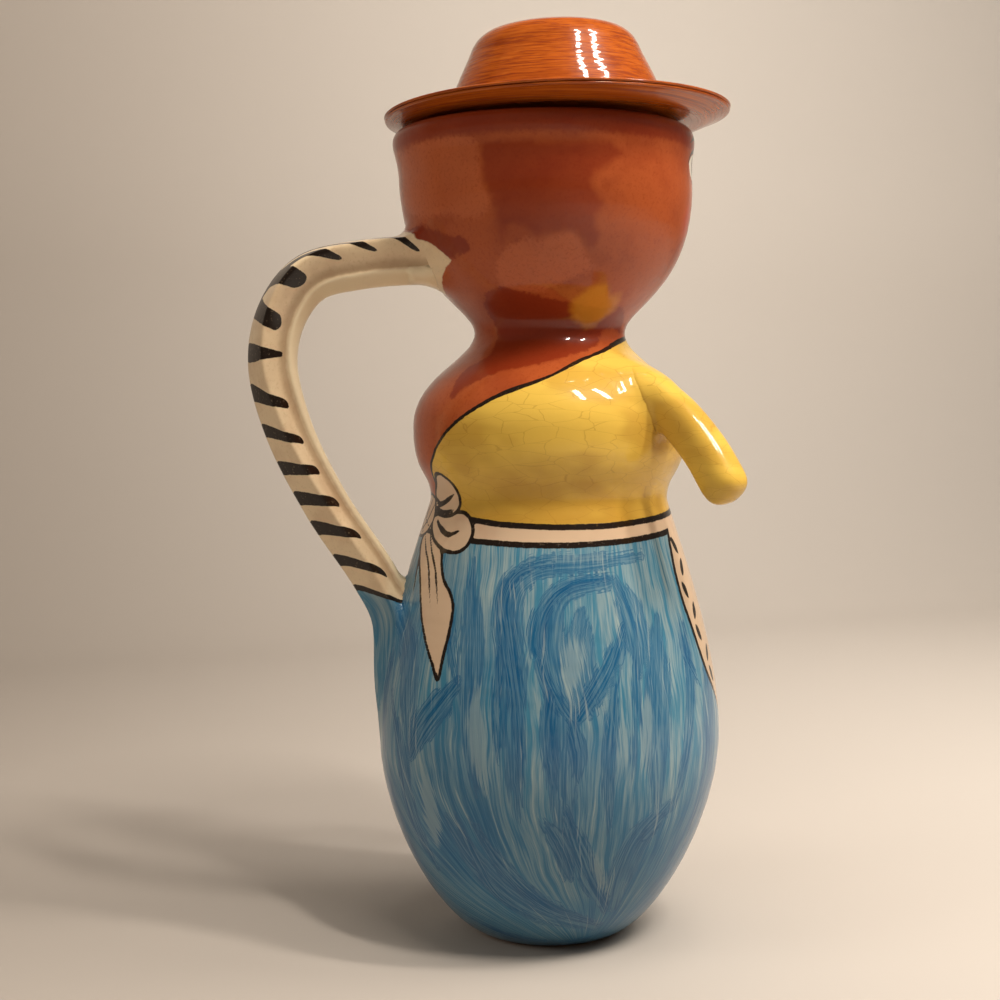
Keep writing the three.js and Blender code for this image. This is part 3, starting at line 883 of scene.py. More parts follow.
class Tree:
    """A material's node tree, with a call for each kind of node that the finishes use."""

    def __init__(self, name):
        self.material = bpy.data.materials.new(name)
        self.material.use_nodes = True
        self.nodes = self.material.node_tree.nodes
        self.links = self.material.node_tree.links
        self.shader = self.nodes["Principled BSDF"]

    def put(self, socket, value):
        """Links a node's output to the socket, or sets the socket's own number or colour."""
        if isinstance(value, Socket):
            self.links.new(value.output, socket)
        elif hasattr(value, "__len__"):
            socket.default_value = (*value, 1)[:len(socket.default_value)]
        else:
            socket.default_value = value

    def node(self, kind, inputs, output=0, **settings):
        """What a new node gives: its settings are made first, then its named or numbered inputs."""
        node = self.nodes.new("ShaderNode" + kind)
        for key, value in settings.items():
            setattr(node, key, value)
        for key, value in inputs.items():
            self.put(node.inputs[key], value)
        return Socket(self, node.outputs[output])

    def math(self, operation, *values):
        return self.node("Math", dict(enumerate(values)), operation=operation)

    def mix(self, share, a, b, blend="MIX"):
        """Colour a, passing into colour b by the share."""
        return self.node("Mix", {"Factor": share, 6: a, 7: b}, 2, data_type="RGBA", blend_type=blend)

    def step(self, value, low, high):
        """Share of the way from low to high, smoothed at both ends."""
        return self.node("MapRange", {0: value, 1: low, 2: high}, interpolation_type="SMOOTHSTEP")

    def within(self, distance, soft):
        """Share inside a painted area, over whose edge it falls softly."""
        return self.step(distance, soft, -soft)

    def attribute(self, name):
        return self.node("Attribute", {}, "Fac", attribute_name=name)

    def place(self):
        """Object coordinates in millimetres, as three numbers."""
        parts = self.nodes.new("ShaderNodeSeparateXYZ")
        self.put(parts.inputs[0], self.node("TexCoord", {}, "Object"))
        return [Socket(self, output) * (1 / MM) for output in parts.outputs]

    def vector(self, x, y, z=0.0):
        return self.node("CombineXYZ", {0: x, 1: y, 2: z})

    def noise(self, at, scale, detail=2.0, rough=0.5):
        inputs = {"Vector": at, "Scale": scale, "Detail": detail, "Roughness": rough}
        return self.node("TexNoise", inputs, "Fac")

    def cracks(self, at, scale):
        """Distance from the borders between cells."""
        return self.node("TexVoronoi", {"Vector": at, "Scale": scale}, "Distance", feature="DISTANCE_TO_EDGE")

    def bump(self, height, strength, distance):
        return self.node("Bump", {"Height": height, "Strength": strength, "Distance": distance})

    def glaze(self, colour, roughness, normal):
        """Pigment under a clear glossy glaze."""
        self.put(self.shader.inputs["Base Color"], colour)
        self.put(self.shader.inputs["Roughness"], roughness)
        self.put(self.shader.inputs["Normal"], normal)
        self.shader.inputs["IOR"].default_value = 1.4
        self.shader.inputs["Specular IOR Level"].default_value = 0.12
        self.shader.inputs["Coat Weight"].default_value = 0.62
        self.shader.inputs["Coat Roughness"].default_value = 0.055
        return self.material


# Shades that clouds, washes and cracks give to the main colours, the painted shade of the strap's groove
# and the painted highlight of its bead, the backdrop's painted shade away from the lamps, and the heights
# between which the skirt gives way to the blouse

PALE_SKIN = (0.52, 0.13, 0.045)
GLAZE_CRACK = (0.34, 0.15, 0.02)
LINEN_CLOUD = (0.56, 0.33, 0.21)
STRAP_CLOUD = (0.56, 0.36, 0.21)
STRAP_GRAIN = (0.46, 0.28, 0.14)
# painted shade for the strap's groove, and a painted highlight for its bead
STRAP_GROOVE_PAINTED_SHADE = (0.34, 0.20, 0.10)
STRAP_BEAD_PAINTED_LIGHT = (0.98, 0.83, 0.56)
LINING_GLAZE = (0.26, 0.075, 0.03)
PALE_HAT = (0.56, 0.16, 0.02)
FLOOR_SHADE = (0.80, 0.79, 0.78)
BACKDROP_PAINTED_SHADE = (0.38, 0.33, 0.285)
WHITE = (1, 1, 1)
SKIRT_TOP = (157.6, 158.4)


def blue_strokes(tree, place, c):
    """Coats of thin blue brushed over a pale ground, with painted shade on the skirt's lower part. Each layer
    of strokes takes up light by its bristles' marks and most at the strokes' edges, and lifted strokes show
    the ground once more."""
    x, y, z = place
    broad = tree.noise(tree.vector(x, y, z * 0.6), 0.032, 2)
    flow = broad * 15.0 + tree.attribute("flow")
    fine = tree.noise(tree.vector(flow * 1.1, z * 0.045, y * 0.02), 1.0, 3, 0.65)
    coarse = tree.noise(tree.vector(flow * 0.30, z * 0.026, y * 0.02), 1.0, 2, 0.5)
    both = fine * 0.55 + coarse * 0.45
    coat = tree.mix(1.0, c.skirt_ground, c.blue, "MULTIPLY")
    colour = tree.mix(tree.step(both, 0.40, 0.60) * 0.6 + 0.35, c.skirt_ground, coat)
    # random thicker coats of blue, plus painted shade that darkens the skirt below about 96 mm towards the
    # foot
    recoats_and_painted_low_shade = tree.step(broad, 0.42, 0.66) * 0.4 + tree.step(z, 96.0, 40.0) * 0.5
    colour = tree.mix(recoats_and_painted_low_shade, colour, c.blue, "MULTIPLY")
    settled = tree.mix(1.0, tree.mix(0.5, c.skirt_ground, coat), tree.mix(0.42, WHITE, c.blue), "MULTIPLY")
    for layer, strength in (("broad_strokes", 0.85), ("middle_strokes", 1.0), ("dark_strokes", 1.0)):
        across, along = tree.attribute(layer + "_across"), tree.attribute(layer + "_along")
        hairs = tree.noise(tree.vector(across * 1.3, along * 0.035), 1.0, 3, 0.65)
        frayed = tree.attribute(layer) + (hairs - 0.5) * 7.0 + (coarse - 0.5) * 5.0
        cover = tree.within(frayed, 0.35)
        colour = tree.mix(cover * 0.6, colour, settled)
        edge = tree.step(tree.math("ABSOLUTE", frayed + 0.5), 0.8, 0.1)
        heavy = tree.math("MAXIMUM", edge * 0.8, tree.step(hairs, 0.38, 0.60))
        laid = cover * (heavy * (0.8 * strength) + 0.2 * strength)
        colour = tree.mix(laid, colour, c.blue, "MULTIPLY")
    lifted = tree.step((fine - 0.5) * 11.0 + tree.attribute("lifted_strokes"), 0.6, -1.8)
    colour = tree.mix(lifted * 0.6, colour, tree.mix(0.35, c.skirt_ground, coat))
    return tree.mix(tree.step(both, 0.42, 0.34) * 0.55, colour, c.skirt_ground)


def terracotta(tree, z, tremble, cloud, grain, c):
    """Skin: clouded terracotta with soft-edged washes, painted shade of the hat's brim in a band up to the
    rim, and an amber splash.
    """
    frayed = tremble * 2.5 + (grain - 0.5) * 2.5 + (cloud - 0.5) * 9.0
    skin = tree.mix(tree.step(cloud, 0.44, 0.66) * 0.3, c.skin, c.skin_wash)
    for wash, outer, inner, share, shade in (
            ("pale_wash", 1.0, -2.5, 0.6, PALE_SKIN),
            ("dark_wash", 0.6, -3.4, 0.62, c.skin_wash),
            ("red_wash", 0.5, -1.2, 0.78, c.skin_wash)):
        skin = tree.mix(tree.step(tree.attribute(wash) + frayed, outer, inner) * share, skin, shade)
    skin = tree.mix(tree.step(grain, 0.48, 0.72) * 0.3, skin, c.skin_wash)
    # painted shade: a darker band from about 300 mm up to the rim, where the hat's brim shades the head
    skin = tree.mix(tree.step(tremble * 1.8 + z, 299.6, 302.2) * 0.66, skin, c.skin_wash)
    splash = (cloud - 0.5) * 7.0 + tremble * 1.6 + tree.attribute("amber")
    return tree.mix(tree.step(splash, 1.0, -2.8) * 0.62, skin, c.amber)


def yellow_slip(tree, place, tremble, c):
    """Blouse: yellow, ochre where it is thick, darker towards the waist as painted shade, with fine cracks in
    the glaze.
    """
    x, y, z = place
    tone = tree.noise(tree.vector(x * 0.5, y * 0.5, z), 0.06, 2, 0.55)
    yellow = tree.mix(tree.step(tone, 0.42, 0.62) * 0.42, c.blouse, c.blouse_wash)
    # painted shade: the yellow darkens from about 186 mm down to the band, as if lit from above
    yellow = tree.mix(tree.step(tremble * 6.0 + z, 186.0, 166.0) * 0.42, yellow, c.blouse_wash)
    crazed = tree.vector(x * 0.30 + tremble * 0.6, y * 0.30, tone * 9.0 + z)
    return tree.mix(tree.step(tree.cracks(crazed, 0.26), 0.022, 0.0) * 0.34, yellow, GLAZE_CRACK)


def cream_slip(tree, tremble, cloud, grain, c):
    """Strap: clouded cream, with painted shade in the groove and a painted highlight on the bead beside it.
    """
    cream = tree.mix(tree.step(cloud, 0.45, 0.65) * 0.4, c.strap, STRAP_CLOUD)
    cream = tree.mix(tree.step(grain, 0.52, 0.72) * 0.25, cream, STRAP_GRAIN)
    inward = tremble * 1.2 + tree.attribute("groove")
    # painted shade in the groove, deepening towards the bead
    painted_groove_shade = tree.step(inward, -4.0, -0.3) * tree.step(inward, 1.6, 0.5)
    cream = tree.mix(painted_groove_shade * 0.55, cream, STRAP_GROOVE_PAINTED_SHADE)
    # painted highlight along the bead
    return tree.mix(tree.step(inward, 1.0, 3.0) * 0.75, cream, STRAP_BEAD_PAINTED_LIGHT)


def body_finish(c):
    """Finish of the body: brushed pigments chosen by the painted areas, drawn lines, and a clear glaze."""
    tree = Tree("body_finish")
    x, y, z = place = tree.place()
    at = tree.vector(x, y, z)
    tremble = tree.noise(at, 0.45, 2) - 0.5
    hairs = tree.noise(at, 2.2, 1) - 0.5
    cloud = tree.noise(at, 0.05, 3, 0.6)
    grain = tree.noise(at, 0.9, 3, 0.65)
    blouse = tree.attribute("blouse") + tremble * 0.5
    linen = tree.attribute("linen") + tremble * 0.3
    strap_edge = tree.attribute("strap") + tremble * 0.8
    ink = tree.attribute("ink") + tremble * 0.5 + hairs * 0.25

    skin = terracotta(tree, z, tremble, cloud, grain, c)
    colour = tree.mix(tree.within(blouse, 0.15), skin, yellow_slip(tree, place, tremble, c))
    over_skirt = tree.step(z, *SKIRT_TOP)
    colour = tree.mix(over_skirt, blue_strokes(tree, place, c), colour)
    colour = tree.mix(tree.within(strap_edge, 0.3), colour, cream_slip(tree, tremble, cloud, grain, c))
    cloth = tree.mix(tree.step(cloud, 0.5, 0.7) * 0.5, c.linen, LINEN_CLOUD)
    colour = tree.mix(tree.within(linen, 0.15), colour, cloth)
    colour = tree.mix(tree.step(tree.attribute("cheek"), 3.0, -6.0) * 0.45, colour, c.lips)
    colour = tree.mix(tree.within(tree.attribute("eyes"), 0.12), colour, c.eye)
    colour = tree.mix(tree.within(tree.attribute("mouth"), 0.15), colour, c.lips)

    seam = tree.math("ABSOLUTE", blouse) - (cloud * 1.3 + 0.15)
    seam_shown = over_skirt * tree.step(linen, -0.1, 0.1)
    drawn = tree.math("MAXIMUM", tree.within(ink, 0.12), tree.within(seam, 0.12) * seam_shown)
    thin = tree.step(grain, 0.58, 0.72) * -0.14 + 1.0
    colour = tree.mix(drawn * thin, colour, c.ink)
    colour = tree.mix(tree.attribute("lining"), colour, LINING_GLAZE)
    bare = tree.step(z, 0.9, 0.3)
    colour = tree.mix(bare, colour, c.clay)

    ripple = tree.noise(at, 0.16, 2, 0.5)
    rough = bare * 0.5 + (ripple * 0.1 + 0.28)
    return tree.glaze(colour, rough, tree.bump(drawn * 0.12 + ripple * 0.35, 0.5, 0.0008))


def hat_finish(c):
    """Finish of the hat: orange-brown turned on with a brush in fine rings, under a clear glaze."""
    tree = Tree("hat_finish")
    x, y, z = tree.place()
    radius = tree.math("SQRT", x * x + y * y)
    around = tree.math("ARCTAN2", y, x) * 5.0
    lines = tree.noise(tree.vector(around * 0.13, z * 1.8, radius * 1.4), 1.0, 2, 0.7)
    broad = tree.noise(tree.vector(around * 0.7, z * 0.25, radius * 0.2), 1.0, 2)
    colour = tree.mix(tree.step(lines, 0.47, 0.62) * 0.75, c.hat, c.hat_wash)
    colour = tree.mix(tree.step(broad, 0.44, 0.66) * 0.25, colour, c.hat_wash)
    colour = tree.mix(tree.step(lines, 0.42, 0.30) * 0.4, colour, PALE_HAT)
    ripple = tree.noise(tree.vector(x, y, z), 0.2, 2)
    return tree.glaze(colour, lines * 0.12 + 0.2, tree.bump(lines * 0.25 + ripple * 0.3, 0.5, 0.0006))


def finish(maker):
    """The finish that a function makes, made once."""
    return bpy.data.materials.get(maker.__name__) or maker(bpy.context.scene.pitcher_colours)


# Pieces

def vessel_columns():
    """Azimuths of the vessel's columns in degrees: closer together where the bow and the face are."""
    degrees = np.linspace(-180, 180, 3601)
    side = np.abs(degrees)
    per_degree = np.where(side > 132, 1.12, np.where(side < 40, 0.95, 0.62))
    total = np.r_[0, np.cumsum((per_degree[1:] + per_degree[:-1]) / 2 * 0.1)]
    count = int(round(total[-1]))
    return np.interp(np.linspace(0, total[-1], count + 1)[:-1], total, degrees)


def row_spacing(p):
    """Distance between the vessel's rows in millimetres for points of radius and height."""
    z = p[:, 1]
    step = np.where(z < 98, 2.2, 0.92)
    step = np.where(z > 186, 1.5, step)
    return np.where(z > 253, 1.15, step)


def vessel_rings(v):
    """Profile of the whole wall as radius and height: foot, outside, rounded rim, and the inside down
    to the floor. The two numbers after it are its first row on the outside and its first past the rim's
    top."""
    outside = resample(vessel_outline(v), row_spacing)
    inner_edge = v.lip_radius - v.wall
    centre = v.lip_radius - v.rim_rounding
    rim = quarter((centre, v.lip_height), v.rim_rounding, v.rim_height - v.lip_height, 0, 90, 7)
    fall = centre - inner_edge
    inner_rim = quarter((centre, v.rim_height - fall), fall, fall, 90, 180, 6)
    dense = vessel_outline(v)
    slope = unit_rows(np.gradient(dense, axis=0))
    lining = np.stack([dense[:, 0] - slope[:, 1] * v.wall, dense[:, 1] + slope[:, 0] * v.wall], 1)
    lining = lining[(lining[:, 1] > v.floor + 3) & (lining[:, 1] < v.lip_height - 2)][::-1]
    low = lining[-1][0]
    corner = cubic(lining[-1], (low - 2.5, v.floor + 0.6), (low - 5, v.floor), (low - 8, v.floor), 6)
    inside_wall = resample(np.vstack([[inner_edge, v.lip_height], lining]), every(6.6))
    foot = np.array([(v.foot_radius * s, 0) for s in (0.25, 0.6, 0.9, 0.985)])
    floor = np.array([((low - 8) * s, v.floor) for s in (0.7, 0.4, 0.15)])
    profile = np.vstack([foot, outside, rim[1:], inner_rim[1:], inside_wall, corner[1:], floor])
    return profile, len(foot), len(foot) + len(outside) + len(rim) - 1


def thrown(azimuth, height):
    """How far the outside of thrown ware strays, in millimetres: two low waves round it and faint rings
    up it, each a sine of the azimuth and the height."""
    dents = 0.22 * np.sin(2 * azimuth + height / 31) + 0.16 * np.sin(3 * azimuth - height / 19 + 1)
    rings = 0.018 * np.sin(height * 1.35 + 0.6 * np.sin(azimuth)) + 0.02 * np.sin(height * 0.52 + azimuth)
    return dents + rings


class PITCHER_OT_vessel(bpy.types.Operator):
    """Make the hollow vessel with its painted figure"""
    bl_idname = "pitcher.vessel"
    bl_label = "Vessel"

    def execute(self, context):
        scene = context.scene
        v = in_mm(scene.pitcher_vessel)
        profile, first, last = vessel_rings(v)
        azimuth = np.radians(vessel_columns())
        radius, height = profile[:, :1], profile[:, 1:]
        row = np.arange(len(profile))[:, None]
        outer = (row >= first) & (row < last)
        strays = smooth(height, 2, 20) * (1 - smooth(height, 300, 306)) * outer
        radius = radius + strays * thrown(azimuth, height)
        points = np.stack(np.broadcast_arrays(radius * np.cos(azimuth), radius * np.sin(azimuth), height), -1)
        points = lean(v, points)
        normals = grid_normals(points)
        if (normals[first + 5] * points[first + 5]).sum() < 0:
            normals = -normals
        flat, flat_normals = points.reshape(-1, 3), normals.reshape(-1, 3)
        own = lambda p: vessel_distance(v, p)[0]
        chosen = np.flatnonzero(np.repeat(outer, points.shape[1], 1))
        for bar, reach in all_bars(scene, v):
            low, high = bar.middle.min(0) - 30, bar.middle.max(0) + 30
            near = chosen[((flat[chosen] > low) & (flat[chosen] < high)).all(1)]
            flat[near] = fillet(flat[near], flat_normals[near], own, bar.distance, reach(flat[near]))
        areas, face = dress_areas(v, flat), face_areas(v, flat)
        face["ink"] = np.minimum(face["ink"], areas["ink"])
        areas |= face | wash_areas(v, flat) | skirt_areas(v, flat) | {
            "strap": strap_root(v, flat),
            "groove": np.full(len(flat), -FAR),
            "amber": patch(v, flat, AMBER),
            "lining": np.repeat(smooth(row, last - 1, last + 3), points.shape[1], 1),
        }
        shaped = {key: value.reshape(points.shape[:2]) for key, value in areas.items()}
        piece = closed_grid("vessel", flat.reshape(points.shape), shaped)
        dress(piece, "pitcher_body", finish(body_finish))
        return {"FINISHED"}


def all_bars(scene, v):
    """Each bar of the body with the reach of the smear that joins it to the vessel."""
    h, a = in_mm(scene.pitcher_handle), in_mm(scene.pitcher_arms)
    smear = lambda p: 5 + 4 * smooth(p[:, 2], 150, 220)
    shoulder = lambda p: 3.5 + 10 * smooth(p[:, 2], a.shoulder_height - 15, a.shoulder_height)
    return [(strap(h, v), smear), (arm(a, -1), shoulder), (arm(a, 1), shoulder)]


def plain_areas(shape):
    """Areas for a piece on which nothing is painted: every patch is far away."""
    far = np.full(shape, FAR)
    names = ["ink", "strap", "linen", "blouse", "eyes", "mouth", "cheek", "amber", *WASHES]
    names += [layer + ending for layer in STROKES for ending in ("", "_across", "_along")]
    return {name: far for name in names} | {"lining": 0 * far, "groove": -far}


# How deep in the wall a bar's root goes, in millimetres
DEEPEST = 3.0


def bar_grid(v, bar, reach):
    """The bar's rings with its root rounded into the vessel, and what lies deep in the wall held there."""
    points = bar.rings()
    normals = grid_normals(points)
    if (normals * (points - bar.middle[:, None])).sum() < 0:
        normals = -normals
    flat = points.reshape(-1, 3)
    flat = fillet(flat, normals.reshape(-1, 3), bar.distance, lambda p: vessel_distance(v, p)[0], reach(flat))
    depth, outward = vessel_distance(v, flat)
    flat = flat + outward * np.maximum(-DEEPEST - depth, 0)[:, None]
    return flat.reshape(points.shape)


# Each stripe's start along the strap, its drift across, the drift's power, its full width, its width at
# the tip and where it ends round the section; the border's start and drift; all in millimetres
STRIPES = (
    (38, -25.4, 1.0, 6.5, 2.4, 13.0), (56, -29.3, 1.0, 8.0, 2.8, 12.0), (67, -25.6, 1.0, 9.0, 3.4, 13.0),
    (64, -5.5, 1.0, 7.2, 6.4, 15.5), (73.5, 2.5, 1.0, 6.8, 6.6, 15.0), (87.6, 0, 1.5, 6.2, 1.8, 17.5),
    (100.3, 6.5, 1.3, 6.4, 3.6, 15.5), (114, 7.5, 1.3, 5.4, 3.4, 15.5), (128.5, 6.0, 1.3, 5.8, 3.8, 15.5),
    (141, 7.6, 1.3, 6.2, 4.2, 16.0), (153.5, 10.2, 1.3, 6.4, 4.2, 15.5), (168.2, 13, 1.3, 5.8, 4.0, 15.5))
STRAP_BORDER = (181.6, 12.5)

# Height over which the strap's paint is that of its joint with the head
ROOT_HEIGHT = 220


def stripe_curve(start, drift, power, around):
    """Place along the strap of a stripe's middle: it drifts with a power of the way across."""
    across = np.clip((around + 6) / 20, 0, 2)
    return start + drift * across ** power


def strap_root(v, points):
    """Signed distance to the cream that runs from the strap over its joint with the head."""
    above, outward = vessel_distance(v, points)
    root = np.minimum(patch(v, points - outward * above[:, None], STRAP_TIP), DEEPEST - above)
    return np.where((points[:, 2] > ROOT_HEIGHT) & (points[:, 0] < 0), root, FAR)


def strap_paint(bar, points, v):
    """Stripes and cream of the strap, from the lengths along it and round its section."""
    section = bar.section * [bar.half_width[0], bar.half_depth[0]]
    closed = np.vstack([section, section[:1]])
    around = arc_length(closed)[:-1]
    total = arc_length(closed)[-1]
    around = np.where(around > total / 2, around - total, around)[None, :]
    along = bar.along[:, None]
    ink = np.full((len(bar.along), len(bar.section)), FAR)
    for start, drift, power, full, tip, end in STRIPES:
        middle = stripe_curve(start, drift, power, around)
        width = np.interp(around, (-9.5, -6, 2, end), (full * 0.7, full, full * 0.92, tip))
        stop = end - tip / 2
        beyond = np.maximum(np.maximum(around - stop, -8.0 - around), 0)
        ink = np.minimum(ink, np.hypot(along - middle, beyond) - width / 2)
    start, drift = STRAP_BORDER
    border = stripe_curve(start, drift, 1.2, around)
    ink = np.minimum(ink, np.abs(along - border) - np.interp(around, (-9, 4, 16, 22), (1.5, 1.4, 1.0, -1.0)))
    sunk = (bar.section[:, 0] > 0) & (bar.section[:, 1] < 0.35) & (bar.section[:, 1] > -0.45)
    groove = np.abs(around) - np.abs(around[0, sunk]).mean() + np.zeros_like(along)
    flat = points.reshape(-1, 3)
    root = np.where(flat[:, 2] > ROOT_HEIGHT, strap_root(v, flat), -FAR).reshape(ink.shape)
    return {"ink": ink, "strap": np.maximum(along - border - 0.4, root), "groove": groove}


class PITCHER_OT_handle(bpy.types.Operator):
    """Make the striped strap handle"""
    bl_idname = "pitcher.handle"
    bl_label = "Handle"

    def execute(self, context):
        scene = context.scene
        v = in_mm(scene.pitcher_vessel)
        bar, reach = all_bars(scene, v)[0]
        points = bar_grid(v, bar, reach)
        areas = plain_areas(points.shape[:2]) | strap_paint(bar, points, v)
        flat = points.reshape(-1, 3)
        around = skirt_areas(v, flat) | wash_areas(v, flat)
        areas |= {key: value.reshape(points.shape[:2]) for key, value in around.items()}
        piece = closed_grid("handle", points, areas)
        dress(piece, "pitcher_body", finish(body_finish))
        return {"FINISHED"}


class PITCHER_OT_arms(bpy.types.Operator):
    """Make the two arm stumps"""
    bl_idname = "pitcher.arms"
    bl_label = "Arms"

    def execute(self, context):
        scene = context.scene
        v = in_mm(scene.pitcher_vessel)
        for name, (bar, reach) in zip(("arm_right", "arm_left"), all_bars(scene, v)[1:]):
            points = bar_grid(v, bar, reach)
            areas = plain_areas(points.shape[:2])
            areas["blouse"] = -areas["blouse"]
            piece = closed_grid(name, points, areas)
            dress(piece, "pitcher_body", finish(body_finish))
        return {"FINISHED"}


def hat_profile(h, v):
    """Outline of radius and height from the hollow's middle, over the flange and the brim with its
    two rolled ridges, up the crown to its middle. Each stretch has its own spacing."""
    mouth = min(v.head_radius, v.lip_radius) - v.wall
    flange = mouth - h.shift - h.flange_clearance
    inner = flange - h.flange_wall
    rise, edge = h.brim_rise, h.brim_edge
    base = h.brim_thickness
    under = cubic((h.seat_radius, 0), (h.seat_radius + 5, 0.1), (h.brim_radius - 4, rise - edge * 0.9),
                  (h.brim_radius - 1.3, rise - edge * 0.62), 24)
    lower_ridge = quarter((h.brim_radius - 1.3, rise - edge * 0.35), 1.0, edge * 0.27, -90, 90, 9)
    upper_ridge = quarter((h.brim_radius - 1.5, rise + edge * 0.2), 1.5, edge * 0.3, -90, 90, 11)
    over = cubic((h.brim_radius - 1.6, rise + edge * 0.5), (h.brim_radius - 6, rise + 0.9),
                 (h.crown_base_radius + 10, base - 0.4), (h.crown_base_radius + 4.2, base), 40)
    cove = cubic((h.crown_base_radius + 4.2, base), (h.crown_base_radius + 1.4, base + 0.1),
                 (h.crown_base_radius + 0.4, base + 1.6), (h.crown_base_radius - 0.5, base + 4.5), 14)
    shoulder = (h.shoulder_radius, h.shoulder_height)
    side = cubic(cove[-1], (cove[-1][0] - 1.6, cove[-1][1] + 7),
                 (shoulder[0] + 2.4, shoulder[1] - 6), shoulder, 50)
    turn = cubic(shoulder, (shoulder[0] - 2.2, h.crown_height - 3.4),
                 (shoulder[0] * 0.83, h.crown_height - 0.9), (shoulder[0] * 0.6, h.crown_height - 0.5), 30)
    top = cubic(turn[-1], (shoulder[0] * 0.4, h.crown_height), (4, h.crown_height), (0.8, h.crown_height), 24)
    outside = np.vstack([under, lower_ridge, upper_ridge, over[1:], cove[1:], side[1:], turn[1:], top[1:]])
    skin = np.vstack([cove, side[1:], turn[1:], top[1:]])
    slope = unit_rows(np.gradient(skin, axis=0))
    hollow = np.stack([skin[:, 0] - slope[:, 1] * h.wall, skin[:, 1] + slope[:, 0] * h.wall], 1)
    hollow = hollow[(hollow[:, 0] > 0.8) & (hollow[:, 0] < inner + 3)][::-1]
    low = -h.flange_depth
    ring = np.array([(inner + 0.4, base), (inner, base - 1), (inner, low + 1), (inner + 0.8, low),
                     (flange - 0.8, low), (flange, low + 1), (flange, -1), (flange + 1, 0)])
    return np.vstack([resample(hollow, every(2.5)), ring, resample(outside, every(0.55))])


def seat_height(h, v, turn):
    """Height of the hat's seat at which it just clears the rim all round."""
    a = np.linspace(0, 2 * math.pi, 48, endpoint=False)
    x, y = v.lip_radius * np.cos(a), v.lip_radius * np.sin(a)
    facing = turn @ Vector((0, 0, 1))
    rim = v.rim_height + x * math.tan(v.rim_climb)
    slope = (facing.x * (x - h.shift) + facing.y * y) / facing.z
    return float((rim + h.seat_clearance + slope).max())


class PITCHER_OT_hat(bpy.types.Operator):
    """Make the loose hat"""
    bl_idname = "pitcher.hat"
    bl_label = "Hat"

    def execute(self, context):
        scene = context.scene
        v, h = in_mm(scene.pitcher_vessel), in_mm(scene.pitcher_hat)
        profile = hat_profile(h, v)
        a = np.linspace(0, 2 * math.pi, 224, endpoint=False)
        radius, height = profile[:, :1], profile[:, 1:]
        up = smooth(height, h.brim_thickness + 1, h.brim_thickness + 5) * smooth(radius, 6, 16)
        rings = (0.022 * np.sin(height * 4.1 + 0.25 * np.sin(a))
                 + 0.02 * np.sin(height * 2.3 + 1.1 + 0.2 * np.cos(a)))
        sway = 0.18 * np.sin(2 * a + 0.7) + 0.1 * np.sin(3 * a + height / 8)
        radius = radius + up * rings + smooth(radius, 30, 40) * sway
        wave = smooth(radius, 50, 66) * (0.25 * np.sin(2 * a + 1.2) + 0.15 * np.sin(3 * a))
        points = np.stack(np.broadcast_arrays(radius * np.cos(a), radius * np.sin(a), height + wave), -1)
        turn = Matrix.Rotation(-h.roll, 3, "X") @ Matrix.Rotation(-h.tilt, 3, "Y")
        lift = seat_height(h, v, turn)
        placed = points @ np.array(turn).T + np.array([h.shift - v.head_lean, 0, lift])
        piece = closed_grid("hat", placed, {})
        dress(piece, "hat_lid", finish(hat_finish))
        return {"FINISHED"}


LAMP_COLOUR = (1.0, 0.93, 0.84)
ROOM_COLOUR = (0.85, 0.78, 0.70, 1)
LAMP_TARGET = (0, 0, 0.18)
FLOOR_GAP = 0.0004


class PITCHER_OT_stage(bpy.types.Operator):
    """Make the camera, the lights, the floor and the backdrop"""
    bl_idname = "pitcher.stage"
    bl_label = "Stage"

    def execute(self, context):
        scene = context.scene
        stage = scene.pitcher_stage
        camera_data = bpy.data.cameras.new("camera")
        camera_data.lens = stage.lens
        camera_data.sensor_width = 36
        camera_data.clip_start = 0.01
        camera = bpy.data.objects.new("camera", camera_data)
        place = Vector(stage.camera_place)
        level = math.atan2(-place.y, -place.x) + stage.camera_turn
        camera.location = place
        camera.rotation_euler = (math.pi / 2 - stage.camera_down, 0, level - math.pi / 2)
        scene.collection.objects.link(camera)
        scene.camera = camera

        key, fill = stage.key_power, stage.fill_power
        add_light("lamp_right", key, (0.07, 0.32), azimuth=-34, elevation=54, distance=1.25, glossy=True)
        add_light("lamp_left", key, (0.07, 0.32), azimuth=-62, elevation=57, distance=1.25, glossy=True)
        add_light("right", fill * 0.38, (0.5, 0.6), azimuth=-8, elevation=40, distance=1.3, glossy=False)
        add_light("ceiling", fill, (1.0, 1.0), azimuth=-60, elevation=78, distance=1.6, glossy=False)
        add_light("window", fill * 0.45, (0.7, 0.9), azimuth=-168, elevation=24, distance=1.8, glossy=False)
        world = bpy.data.worlds.new("room")
        world.use_nodes = True
        background = world.node_tree.nodes["Background"]
        background.inputs["Color"].default_value = ROOM_COLOUR
        background.inputs["Strength"].default_value = stage.room
        scene.world = world

        backdrop = sweep_backdrop(stage)
        scene.view_settings.view_transform = "Standard"
        return {"FINISHED"}


def add_light(name, power, size, azimuth, elevation, distance, glossy):
    """A flat light that looks at the middle of the pitcher from an azimuth and an elevation, and that
    the glaze mirrors if it is glossy."""
    data = bpy.data.lights.new(name, "AREA")
    data.shape = "RECTANGLE"
    data.size, data.size_y = size
    data.energy = power
    data.color = LAMP_COLOUR
    light = bpy.data.objects.new(name, data)
    a, e = math.radians(azimuth), math.radians(elevation)
    away = Vector((math.cos(a) * math.cos(e), math.sin(a) * math.cos(e), math.sin(e)))
    light.location = Vector(LAMP_TARGET) + away * distance
    light.rotation_euler = away.to_track_quat("Z", "Y").to_euler()
    light.visible_glossy = glossy
    bpy.context.scene.collection.objects.link(light)


